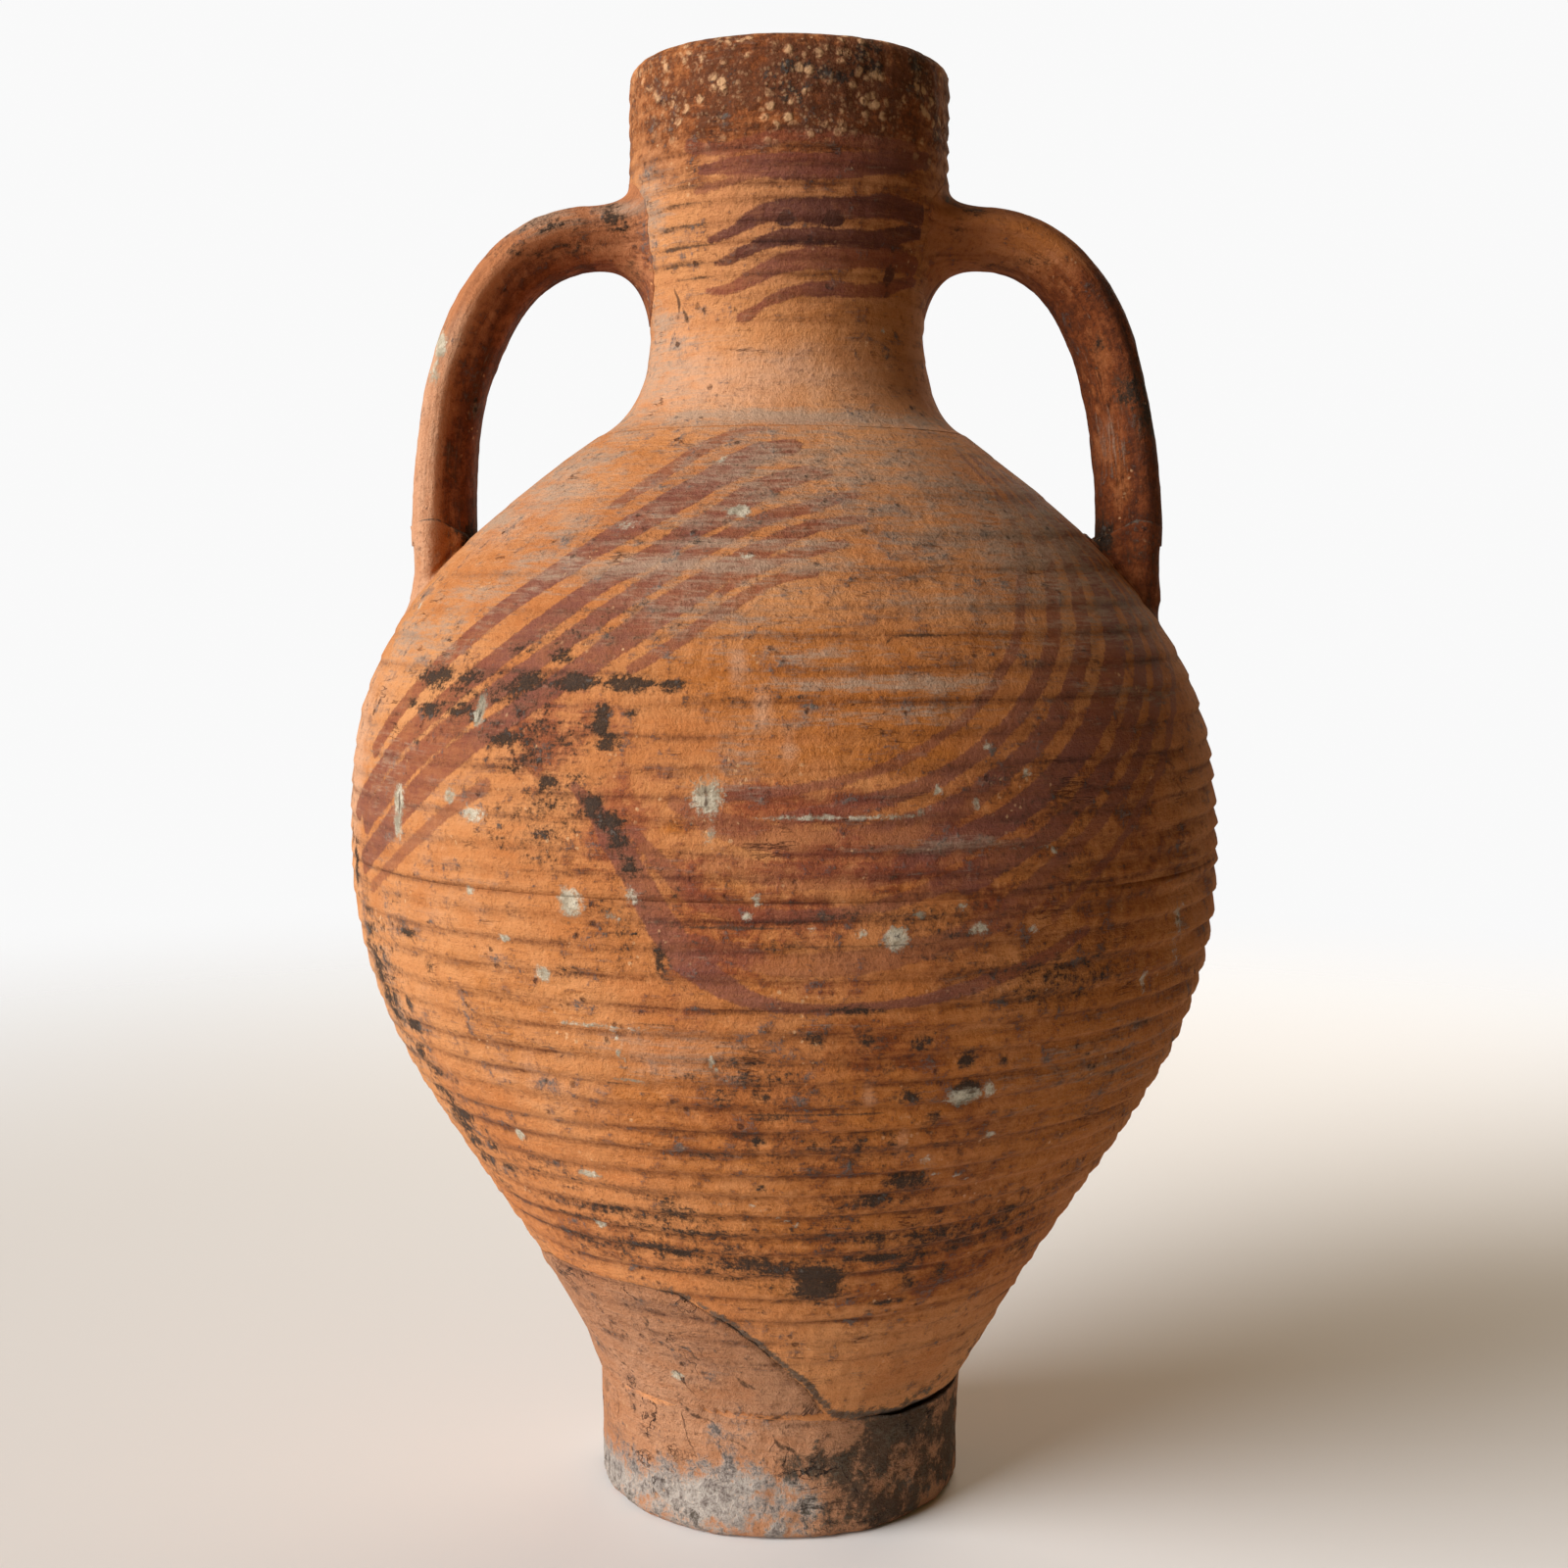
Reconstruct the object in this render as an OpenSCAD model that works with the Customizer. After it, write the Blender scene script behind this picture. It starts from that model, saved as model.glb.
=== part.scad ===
// Two-handled earthenware storage jar, built as a potter builds it: a thrown bowl, a thrown
// shoulder and a thrown neck luted rim to rim, a foot ring round the base, and two pulled
// strap handles, each landing on a pad of clay on the shoulder.
// Millimetres. +Z is up, the origin is the centre of the underside, the handles lie along X.

/* [Foot] */
// Outside diameter of the foot ring
foot_d = 134; // [111:1:160]
// Height of the foot ring
foot_h = 47; // [36:1:60]
// Thickness of the foot ring
foot_wall = 8; // [6:0.5:12]
// Radius on the foot ring's two outside edges
foot_edge_r = 2; // [0.5:0.5:3]
// Height of the base's underside above the ground
base_recess = 2; // [0.5:0.5:5]

/* [Body] */
// Diameter at the belly, where the bowl and the shoulder meet
belly_d = 316; // [262:2:380]
// Height of the bowl, from the top of the foot ring to the belly seam
bowl_h = 193; // [150:1:240]
// Height of the shoulder, from the belly seam to the neck seam
shoulder_h = 148; // [120:1:180]
// How far the bowl stands out past the foot ring
foot_overhang = 3; // [0:0.5:8]
// Thickness of the thrown walls
wall = 9; // [6:0.5:11]
// Thickness of the floor
floor_t = 12; // [8:0.5:18]
// Height of the ridge that keys each luted seam
key_h = 3; // [1:0.5:4]

/* [Neck] */
// Height of the neck, from the neck seam to the lip
neck_h = 132; // [108:1:160]
// Outside diameter of the neck at its seam
neck_base_d = 136; // [112:1:164]
// Thickness of the neck at its seam
throat_wall = 11; // [8:0.5:13]
// Outside diameter at the neck's waist
waist_d = 99; // [82:1:118]
// Height of the waist above the neck seam
waist_h = 36; // [30:1:44]
// Diameter of the mouth, where a stopper goes
mouth_d = 96; // [80:1:116]
// Depth of the straight wall in the mouth
mouth_depth = 36; // [20:1:40]
// Thickness of the collar
collar_wall = 9.5; // [7:0.5:12]
// Height of the collar, from its foot to the lip
collar_h = 42; // [35:1:50]
// Radius of the lip's outside edge
lip_outer_r = 7; // [3:0.5:9]
// Radius of the lip's inside edge
lip_inner_r = 2.5; // [1:0.5:4]

/* [Handles] */
// Width of the strap
handle_w = 37; // [28:1:48]
// Thickness of the strap
handle_t = 24; // [16:1:28]
// Distance from the jar's axis to the middle of the strap's straight leg
handle_reach = 125.5; // [104:0.5:151]
// Height of the strap's crown above its root
handle_rise = 20; // [10:1:26]
// Depth of the strap's root below the foot of the collar
root_drop = 21; // [18:1:26]
// Extra half-width where the strap spreads on the neck
root_spread = 10; // [4:1:14]
// Depth of the fillet under the root
root_fillet = 16; // [4:1:20]
// How far the pad's lip stands above the shoulder at the strap's inner face
pad_gap = 5; // [1:0.5:8]
// Extra half-width where the pad spreads on the shoulder
pad_spread = 4; // [2:1:10]

/* [Hidden] */
$fn = 96;
terracotta = [0.70, 0.43, 0.25];
terracotta_dark = [0.56, 0.31, 0.17];
clay_pale = [0.78, 0.60, 0.46];

// Levels and radii
belly_z = foot_h + bowl_h;
neck_z = belly_z + shoulder_h;
lip_z = neck_z + neck_h;
collar_z = lip_z - collar_h;
waist_z = neck_z + waist_h;
foot_r = foot_d / 2;
base_r = foot_r - foot_wall;
bowl_start_r = foot_r + foot_overhang;
belly_r = belly_d / 2;
floor_z = base_recess + floor_t;
neck_base_r = neck_base_d / 2;
throat_r = neck_base_r - throat_wall;
waist_r = waist_d / 2;
waist_bore_r = waist_r - wall;
mouth_r = mouth_d / 2;
collar_r = mouth_r + collar_wall;
// The lip's outside edge is limited by the collar's thickness
lip_edge_r = min(lip_outer_r, collar_wall - lip_inner_r);
// The top of the shoulder stands this far outside the neck, which leaves a small ledge
neck_ledge = 2;
// Half the width of a seam's keying ridge
key_half = 2.5;

// Curve steps along a body wall, along a neck curve and round an edge
WALL_STEPS = 28;
NECK_STEPS = 10;
EDGE_STEPS = 6;

// A cubic curve through p[0] and p[3], and its direction
function curve_at(p, t) =
    pow(1 - t, 3) * p[0] + 3 * pow(1 - t, 2) * t * p[1]
    + 3 * (1 - t) * pow(t, 2) * p[2] + pow(t, 3) * p[3];
function slope_at(p, t) =
    pow(1 - t, 2) * (p[1] - p[0]) + 2 * (1 - t) * t * (p[2] - p[1])
    + pow(t, 2) * (p[3] - p[2]);
function curve(p, steps, first = 0) =
    [for (i = [0 : steps]) curve_at(p, first + (1 - first) * i / steps)];
// The same curve moved towards the axis by the wall's thickness
function inner_curve(p, steps, first = 0) =
    [for (i = [0 : steps])
        let (t = first + (1 - first) * i / steps, s = slope_at(p, t))
        curve_at(p, t) + wall * [-s[1], s[0]] / norm(s)];
function backwards(list) = [for (i = [len(list) - 1 : -1 : 0]) list[i]];
function last(list) = list[len(list) - 1];
function arc(centre, r, from, to) =
    [for (i = [0 : EDGE_STEPS])
        let (a = from + (to - from) * i / EDGE_STEPS)
        centre + r * [cos(a), sin(a)]];

// Outlines of the walls, as [radius, height], each going up
bowl_curve = let (dr = belly_r - bowl_start_r) [
    [bowl_start_r, foot_h],
    [bowl_start_r + 0.352 * dr, foot_h + 0.368 * bowl_h],
    [belly_r, belly_z - 0.41 * bowl_h],
    [belly_r, belly_z],
];
shoulder_top_r = neck_base_r + neck_ledge;
shoulder_curve = let (dr = belly_r - shoulder_top_r) [
    [belly_r, belly_z],
    [belly_r, belly_z + 0.392 * shoulder_h],
    [shoulder_top_r + 0.87 * dr, neck_z - 0.44 * shoulder_h],
    [shoulder_top_r, neck_z],
];
neck_flare = [
    [neck_base_r, neck_z],
    [neck_base_r - 0.33 * (neck_base_r - waist_r), neck_z + 2],
    [waist_r + 1.5, neck_z + 0.28 * waist_h],
    [waist_r, waist_z],
];
collar_swell = let (dz = collar_z - waist_z) [
    [waist_r, waist_z],
    [waist_r, waist_z + 0.37 * dz],
    [collar_r, collar_z - 0.4 * dz],
    [collar_r, collar_z],
];
throat_curve = [
    [throat_r, neck_z],
    [throat_r - 0.6 * (throat_r - waist_bore_r), neck_z + 0.2 * waist_h],
    [waist_bore_r, waist_z - 0.5 * waist_h],
    [waist_bore_r, waist_z],
];
mouth_z = lip_z - mouth_depth;
mouth_swell = let (dz = mouth_z - waist_z) [
    [waist_bore_r, waist_z],
    [waist_bore_r, waist_z + 0.4 * dz],
    [mouth_r, mouth_z - 0.4 * dz],
    [mouth_r, mouth_z],
];

// The bowl's inside wall starts this far up its curve; below that the base is thicker
HEEL = 0.15;
bowl_inside = inner_curve(bowl_curve, WALL_STEPS, HEEL);
heel_curve = [
    [0, floor_z],
    [base_r / 2, floor_z],
    [base_r - wall - 4, foot_h - 5],
    bowl_inside[0],
];
shoulder_inside = inner_curve(shoulder_curve, WALL_STEPS);

// A seam's ridge across a wall that runs from radius outer to radius inner at height z
function seam(outer, inner, z) =
    let (mid = (outer + inner) / 2)
    [[outer, z], [mid + key_half, z], [mid, z + key_h], [mid - key_half, z], [inner, z]];
belly_seam = seam(belly_r, belly_r - wall, belly_z);
neck_seam = seam(neck_base_r, throat_r, neck_z);

neck_outside = concat(
    curve(neck_flare, NECK_STEPS),
    curve(collar_swell, NECK_STEPS),
    arc([collar_r - lip_edge_r, lip_z - lip_edge_r], lip_edge_r, 0, 90));

// Handle centre line, in the plane of the handles as [x, z]
root_z = collar_z - root_drop;
root_r = lookup(root_z, [for (p = curve(collar_swell, NECK_STEPS)) [p[1], p[0]]]);
shoulder_by_r = [for (p = backwards(curve(shoulder_curve, WALL_STEPS))) [p[0], p[1]]];
landing_z = lookup(handle_reach - handle_t / 2, shoulder_by_r) + pad_gap;
leg = 0.58 * (root_z - landing_z);
handle_line = [
    [root_r - 6, root_z],
    [root_r + 0.75 * (handle_reach - root_r), root_z + handle_rise],
    [handle_reach, landing_z + leg],
    [handle_reach, landing_z],
];
// The strap's root starts this much of the first control leg inside the neck
ROOT_START = 0.3;
handle_start = handle_line[0] - ROOT_START * (handle_line[1] - handle_line[0]);
// Distance over which the root's spread dies away
SPREAD_LENGTH = 24;
HANDLE_RINGS = 26;
SECTION_SIDES = 22;
// Below 1 the strap's section is squarer than an ellipse
SQUARENESS = 0.72;
// Share of the strap's width lost from its middle to its inner face
NARROWING = 0.2;

function rounded(x) = sign(x) * pow(abs(x), SQUARENESS);
// One section of a strap: middle at c, out is the unit vector to its outer face in the
// handle's plane, with its outer and inner half-thickness and its half-width
function section(c, out, t_out, t_in, half_w) =
    [for (i = [0 : SECTION_SIDES - 1])
        let (a = 360 * i / SECTION_SIDES,
             across = rounded(sin(a)),
             u = across * (across > 0 ? t_out : t_in),
             v = rounded(cos(a)) * half_w * (1 - NARROWING * (1 - across)))
        [c[0] + u * out[0], v, c[1] + u * out[1]]];

function spread_at(x) = pow(1 - max(0, min(1, (x - root_r) / SPREAD_LENGTH)), 2);
function strap_section(c, s) =
    let (spread = spread_at(c[0]))
    section(c, [-s[1], s[0]] / norm(s), handle_t / 2 + spread,
            handle_t / 2 + root_fillet * spread,
            handle_w / 2 / (1 - NARROWING / 2) + root_spread * spread);
handle_sections = concat(
    [strap_section(handle_start, slope_at(handle_line, 0))],
    [for (i = [0 : HANDLE_RINGS])
        let (t = i / HANDLE_RINGS)
        strap_section(curve_at(handle_line, t), slope_at(handle_line, t))]);

// The pad: drawn in under its lip, then spreading onto the shoulder
PAD_RINGS = 9;
PAD_LIP = 3;
// The pad reaches down past where its outer face meets the shoulder
pad_low_z = lookup(handle_reach + handle_t / 2 + pad_spread, shoulder_by_r) - 8;
function pad_size(f) = -PAD_LIP * sin(180 * min(1, f * 2.2)) + pad_spread * pow(f, 2);
pad_sections = [for (i = [0 : PAD_RINGS])
    let (f = i / PAD_RINGS, grow = pad_size(f))
    section([handle_reach, landing_z + f * (pad_low_z - landing_z)], [1, 0],
            handle_t / 2 + grow, handle_t / 2 + grow,
            handle_w / 2 / (1 - NARROWING / 2) + grow)];

// A closed skin over a row of sections
module skin(sections) {
    n = len(sections[0]);
    rows = len(sections);
    points = [for (s = sections) each s];
    sides = [for (j = [0 : rows - 2], i = [0 : n - 1])
        let (a = j * n + i, b = j * n + (i + 1) % n)
        each [[a, b, b + n], [a, b + n, a + n]]];
    start_cap = [[for (i = [n - 1 : -1 : 0]) i]];
    end_cap = [[for (i = [0 : n - 1]) (rows - 1) * n + i]];
    polyhedron(points, concat(sides, start_cap, end_cap));
}

// The solids that the handles and pads are fitted to, filled in to the axis
module neck_plug() {
    rotate_extrude()
        polygon(concat([[0, neck_z]], neck_outside, [[0, lip_z]]));
}
module body_plug() {
    rotate_extrude()
        polygon(concat(
            [[0, foot_h]],
            curve(bowl_curve, WALL_STEPS),
            [for (i = [1 : WALL_STEPS]) curve(shoulder_curve, WALL_STEPS)[i]],
            [[0, neck_z]]));
}

module foot() {
    color(clay_pale)
        rotate_extrude()
            polygon(concat(
                [[base_r, 0]],
                arc([foot_r - foot_edge_r, foot_edge_r], foot_edge_r, -90, 0),
                arc([foot_r - foot_edge_r, foot_h - foot_edge_r], foot_edge_r, 0, 90),
                [[base_r, foot_h]]));
}

module lower_body() {
    color(terracotta_dark)
        rotate_extrude()
            polygon(concat(
                [[0, base_recess], [base_r, base_recess], [base_r, foot_h]],
                [for (i = [0 : WALL_STEPS - 1]) curve(bowl_curve, WALL_STEPS)[i]],
                belly_seam,
                [for (i = [WALL_STEPS - 1 : -1 : 0]) bowl_inside[i]],
                [for (i = [NECK_STEPS - 1 : -1 : 0]) curve(heel_curve, NECK_STEPS)[i]]));
}

module upper_body() {
    color(terracotta)
        rotate_extrude()
            polygon(concat(
                belly_seam,
                [for (i = [1 : WALL_STEPS]) shoulder_inside[i]],
                backwards(neck_seam),
                backwards([for (i = [1 : WALL_STEPS]) curve(shoulder_curve, WALL_STEPS)[i]])));
}

module neck() {
    color(terracotta)
        rotate_extrude()
            polygon(concat(
                [for (i = [1 : len(neck_outside) - 1]) neck_outside[i]],
                arc([mouth_r + lip_inner_r, lip_z - lip_inner_r], lip_inner_r, 90, 180),
                backwards(curve(mouth_swell, NECK_STEPS)),
                [for (i = [NECK_STEPS - 1 : -1 : 1]) curve(throat_curve, NECK_STEPS)[i]],
                backwards(neck_seam)));
}

module handle() {
    color(terracotta)
        difference() {
            skin(handle_sections);
            neck_plug();
        }
}
module handle_pad() {
    color(terracotta_dark)
        difference() {
            skin(pad_sections);
            body_plug();
        }
}

module handle_right() {
    handle();
}
module handle_left() {
    mirror([1, 0, 0]) handle();
}
module handle_pad_right() {
    handle_pad();
}
module handle_pad_left() {
    mirror([1, 0, 0]) handle_pad();
}

foot();
lower_body();
upper_body();
neck();
handle_left();
handle_right();
handle_pad_left();
handle_pad_right();
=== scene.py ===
import math

import bpy
import numpy as np
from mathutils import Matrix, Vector


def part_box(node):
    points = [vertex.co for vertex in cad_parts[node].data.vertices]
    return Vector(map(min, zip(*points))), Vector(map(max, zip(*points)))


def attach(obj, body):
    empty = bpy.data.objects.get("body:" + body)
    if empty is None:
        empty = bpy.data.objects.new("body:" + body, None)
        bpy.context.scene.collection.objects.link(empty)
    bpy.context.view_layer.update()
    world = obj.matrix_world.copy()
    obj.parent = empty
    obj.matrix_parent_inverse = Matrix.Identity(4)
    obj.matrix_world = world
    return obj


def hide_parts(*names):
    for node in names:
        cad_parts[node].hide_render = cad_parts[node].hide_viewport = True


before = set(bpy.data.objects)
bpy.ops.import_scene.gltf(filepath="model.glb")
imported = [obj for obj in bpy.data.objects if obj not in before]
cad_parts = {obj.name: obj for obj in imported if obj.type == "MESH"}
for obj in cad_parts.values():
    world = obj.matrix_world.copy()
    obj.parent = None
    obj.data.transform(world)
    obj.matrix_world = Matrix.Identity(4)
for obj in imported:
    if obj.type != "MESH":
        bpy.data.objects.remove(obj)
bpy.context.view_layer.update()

# The looks of a two-handled earthenware storage jar. Lengths are in millimetres until a mesh
# is made. An angle on the jar is in degrees from its front (-Y), growing towards +X.

MM = 0.001
RIDES_ON = "root"


# ---------------------------------------------------------------- camera, light and floor

CAMERA_PLACE = (0.0, -0.780, 0.334)
CAMERA_TILT_DOWN = math.atan(200 / 2148)
CAMERA_VIEW_ANGLE = 2 * math.atan(800 / 2148)
BACKDROP_BRIGHTNESS = 0.95


def make_camera():
    data = bpy.data.cameras.new("camera")
    data.sensor_fit = "AUTO"
    data.angle = CAMERA_VIEW_ANGLE
    data.clip_start = 0.01
    camera = bpy.data.objects.new("camera", data)
    camera.location = CAMERA_PLACE
    camera.rotation_euler = (math.pi / 2 - CAMERA_TILT_DOWN, 0, 0)
    bpy.context.scene.collection.objects.link(camera)
    bpy.context.scene.camera = camera


def towards(azimuth, elevation):
    """The direction at an azimuth (degrees from the front, towards +X) and elevation."""
    a, e = math.radians(azimuth), math.radians(elevation)
    return Vector((math.sin(a) * math.cos(e), -math.cos(a) * math.cos(e), math.sin(e)))


def add_light(name, data, place):
    light = bpy.data.objects.new(name, data)
    light.rotation_euler = towards(*place).to_track_quat("Z", "Y").to_euler()
    bpy.context.scene.collection.objects.link(light)
    return light


def make_sun(name, azimuth, elevation, strength, spread, color):
    data = bpy.data.lights.new(name, "SUN")
    data.energy, data.color = strength, color
    data.angle = math.radians(spread)
    add_light(name, data, (azimuth, elevation)).location = towards(azimuth, elevation) * 2


def make_panel(name, azimuth, elevation, distance, size, power, color):
    """A square soft light that faces the middle of the jar."""
    data = bpy.data.lights.new(name, "AREA")
    data.energy, data.color, data.size = power, color, size
    light = add_light(name, data, (azimuth, elevation))
    light.location = towards(azimuth, elevation) * distance + Vector((0, 0, 0.26))


def make_world(given, given_color):
    """A plain white backdrop that lights the jar only with a weak warm fill."""
    world = bpy.data.worlds.new("studio")
    world.use_nodes = True
    bpy.context.scene.world = world
    tree = world.node_tree
    back = tree.nodes["Background"]
    path = tree.nodes.new("ShaderNodeLightPath")
    mix = tree.nodes.new("ShaderNodeMix")
    mix.data_type = "RGBA"
    mix.inputs[6].default_value = (*[given * c for c in given_color], 1)
    mix.inputs[7].default_value = (*[BACKDROP_BRIGHTNESS] * 3, 1)
    tree.links.new(path.outputs["Is Camera Ray"], mix.inputs[0])
    tree.links.new(mix.outputs[2], back.inputs["Color"])


def make_floor(radius=4.0, color=(0.80, 0.795, 0.785), fade_from=0.45, fade_to=1.5):
    """A pale floor that fades into the backdrop."""
    mesh = bpy.data.meshes.new("floor")
    ring = [(radius * math.cos(a), radius * math.sin(a), 0)
            for a in np.linspace(0, 2 * math.pi, 64, endpoint=False)]
    mesh.from_pydata(ring, [], [list(range(64))])
    floor = bpy.data.objects.new("floor", mesh)
    bpy.context.scene.collection.objects.link(floor)
    g = Graph("floor_paint")
    g.shader.inputs["Base Color"].default_value = (*color, 1)
    g.shader.inputs["Roughness"].default_value = 0.9
    distance = g.node("ShaderNodeVectorMath", {0: g.place()}, operation="LENGTH").outputs["Value"]
    clear = g.tree.nodes.new("ShaderNodeBsdfTransparent")
    mix = g.node("ShaderNodeMixShader", {0: g.step(distance, fade_from, fade_to)})
    g.tree.links.new(g.shader.outputs[0], mix.inputs[1])
    g.tree.links.new(clear.outputs[0], mix.inputs[2])
    output = g.tree.nodes["Material Output"]
    g.tree.links.new(mix.outputs[0], output.inputs["Surface"])
    mesh.materials.append(g.material)


# ---------------------------------------------------------------- noise and curves

def lattice_noise(points, size, seed):
    """Smooth noise from -1 to 1 with features about size long; points is (n, 3)."""
    cells = 32
    table = np.random.RandomState(seed).uniform(-1, 1, (cells, cells, cells))
    q = points / size
    base = np.floor(q).astype(int)
    f = q - base
    f = f * f * (3 - 2 * f)
    total = np.zeros(len(q))
    for corner in range(8):
        step = np.array([corner & 1, corner >> 1 & 1, corner >> 2 & 1])
        weight = np.where(step, f, 1 - f).prod(axis=1)
        i = (base + step) % cells
        total += weight * table[i[:, 0], i[:, 1], i[:, 2]]
    return total


def layered_noise(points, size, seed, octaves=3):
    total = np.zeros(len(points))
    for k in range(octaves):
        total += 0.5 ** k * lattice_noise(points, size * 0.5 ** k, seed + 7 * k)
    return total


def bezier(p, steps, first=0.0):
    """Points along a cubic curve, with its directions."""
    p = np.array(p, float)
    t = np.linspace(first, 1, steps + 1)[:, None]
    point = (1 - t) ** 3 * p[0] + 3 * (1 - t) ** 2 * t * p[1] \
        + 3 * (1 - t) * t ** 2 * p[2] + t ** 3 * p[3]
    slope = (1 - t) ** 2 * (p[1] - p[0]) + 2 * (1 - t) * t * (p[2] - p[1]) \
        + t ** 2 * (p[3] - p[2])
    return point, slope


def through(points, steps=8):
    """A smooth path through given points (Catmull-Rom), any number of columns."""
    p = np.array(points, float)
    p = np.vstack([2 * p[0] - p[1], p, 2 * p[-1] - p[-2]])
    out = []
    for a, b, c, d in zip(p, p[1:], p[2:], p[3:]):
        t = np.linspace(0, 1, steps, endpoint=False)[:, None]
        out.append(0.5 * (2 * b + (c - a) * t + (2 * a - 5 * b + 4 * c - d) * t ** 2
                          + (3 * b - a - 3 * c + d) * t ** 3))
    return np.vstack(out + [p[-2]])


def evenly(points, spacing):
    """The same line with its points evenly spaced."""
    p = np.array(points, float)
    run = np.concatenate([[0], np.cumsum(np.linalg.norm(np.diff(p[:, :2], axis=0), axis=1))])
    s = np.linspace(0, run[-1], max(2, int(round(run[-1] / spacing)) + 1))
    return np.column_stack([np.interp(s, run, p[:, k]) for k in range(p.shape[1])])


# ---------------------------------------------------------------- the jar's shape, from the frame

def box_mm(node):
    """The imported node's box, as its low and high corner in mm."""
    return [np.array(corner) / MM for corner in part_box(node)]


FOOT_R, _, FOOT_H = box_mm("foot")[1]
BELLY_R, BELLY_Z = box_mm("upper_body")[1][0], box_mm("upper_body")[0][2]
NECK_BASE_R, NECK_Z = box_mm("neck")[1][0], box_mm("neck")[0][2]
LIP_Z = box_mm("neck")[1][2]
WALL = 9
BASE_RECESS = 2
FLOOR_Z = BASE_RECESS + 12
BOWL_START_R = FOOT_R + 3
SHOULDER_TOP_R = NECK_BASE_R + 2
JOIN_R = NECK_BASE_R + 0.3
THROAT_R = NECK_BASE_R - 11
WAIST_R, WAIST_Z = 49.5, NECK_Z + 36
MOUTH_R, COLLAR_R = 48, 57.5
COLLAR_Z = LIP_Z - 42
MOUTH_Z = LIP_Z - 36
LIP_OUT, LIP_IN = 7, 2.5

FINE = 120


def wall_curves():
    """The outside from foot to collar, as cubic curves: start, two handles, end."""
    bowl_h, dr = BELLY_Z - FOOT_H, BELLY_R - BOWL_START_R
    bowl = [(BOWL_START_R, FOOT_H),
            (BOWL_START_R + 0.352 * dr, FOOT_H + 0.368 * bowl_h),
            (BELLY_R, BELLY_Z - 0.41 * bowl_h), (BELLY_R, BELLY_Z)]
    shoulder_h, dr = NECK_Z - BELLY_Z, BELLY_R - SHOULDER_TOP_R
    shoulder = [(BELLY_R, BELLY_Z), (BELLY_R, BELLY_Z + 0.372 * shoulder_h),
                (SHOULDER_TOP_R + 0.915 * dr, NECK_Z - 0.405 * shoulder_h),
                (JOIN_R, NECK_Z)]
    waist_h = WAIST_Z - NECK_Z
    flare = [(JOIN_R, NECK_Z),
             (NECK_BASE_R - 0.33 * (NECK_BASE_R - WAIST_R), NECK_Z + 3),
             (WAIST_R + 1.5, NECK_Z + 0.28 * waist_h), (WAIST_R, WAIST_Z)]
    dz = COLLAR_Z - WAIST_Z
    swell = [(WAIST_R, WAIST_Z), (WAIST_R, WAIST_Z + 0.37 * dz),
             (COLLAR_R, COLLAR_Z - 0.4 * dz), (COLLAR_R, COLLAR_Z)]
    return bowl, shoulder, flare, swell


BOWL, SHOULDER, FLARE, SWELL = wall_curves()
OUTLINE = np.vstack([bezier(c, FINE)[0] for c in (BOWL, SHOULDER, FLARE, SWELL)]
                    + [[COLLAR_R, LIP_Z]])


def radius_at(z):
    """The smooth outside radius at a height."""
    return np.interp(z, OUTLINE[:, 1], OUTLINE[:, 0])


def inner_wall(curve, first=0.0):
    """The inside of a wall, square to its outside curve."""
    point, slope = bezier(curve, FINE, first)
    normal = np.column_stack([-slope[:, 1], slope[:, 0]])
    return point + WALL * normal / np.linalg.norm(slope, axis=1)[:, None]


def on_jar(theta, z, lift=0.0):
    """Places on the smooth outside of the jar."""
    r, a = radius_at(z) + lift, np.radians(theta)
    return np.column_stack([r * np.sin(a), -r * np.cos(a), z + 0 * a])


def axis_shift(z):
    """The jar leans and wanders a little, as a piece built by hand does."""
    levels = [0, 40, 60, 110, 200, 240, 330, 380, 410, 520]
    shift = [-1.6, -1.6, 1.2, 1.8, 1.0, 0.0, -1.8, -1.0, 1.4, 1.6]
    return np.interp(z, levels, shift)


# ---------------------------------------------------------------- relief of the thrown walls

BODY_GROOVES = [52, 61, 70, 79, 88, 98, 108, 117, 125, 133, 141, 149, 158, 165.5, 174, 182,
                190.5, 199, 207.5, 217, 226.5, 235, 241.5, 248, 255.5, 265, 272, 280, 290,
                300, 309.5, 319.5, 328, 340, 351, 364, 379, 390]
NECK_GROOVES = [404, 414, 425, 433, 440.5, 445.5, 451, 457.5, 464.5, 470, 476, 482, 488, 494,
                500, 507, 514, 522]
GROOVES = np.array(BODY_GROOVES + NECK_GROOVES, float)
# Depth of the throwing lines at heights up the jar
DEPTH_Z = [47, 62, 85, 105, 150, 200, 235, 270, 320, 350, 388, 400, 432, 450, 470, 520]
DEPTH = [0.1, 0.3, 0.9, 2.0, 2.2, 2.0, 1.5, 1.1, 0.8, 0.6, 0.2, 0.1, 0.35, 0.9, 0.9, 0.5]


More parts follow.
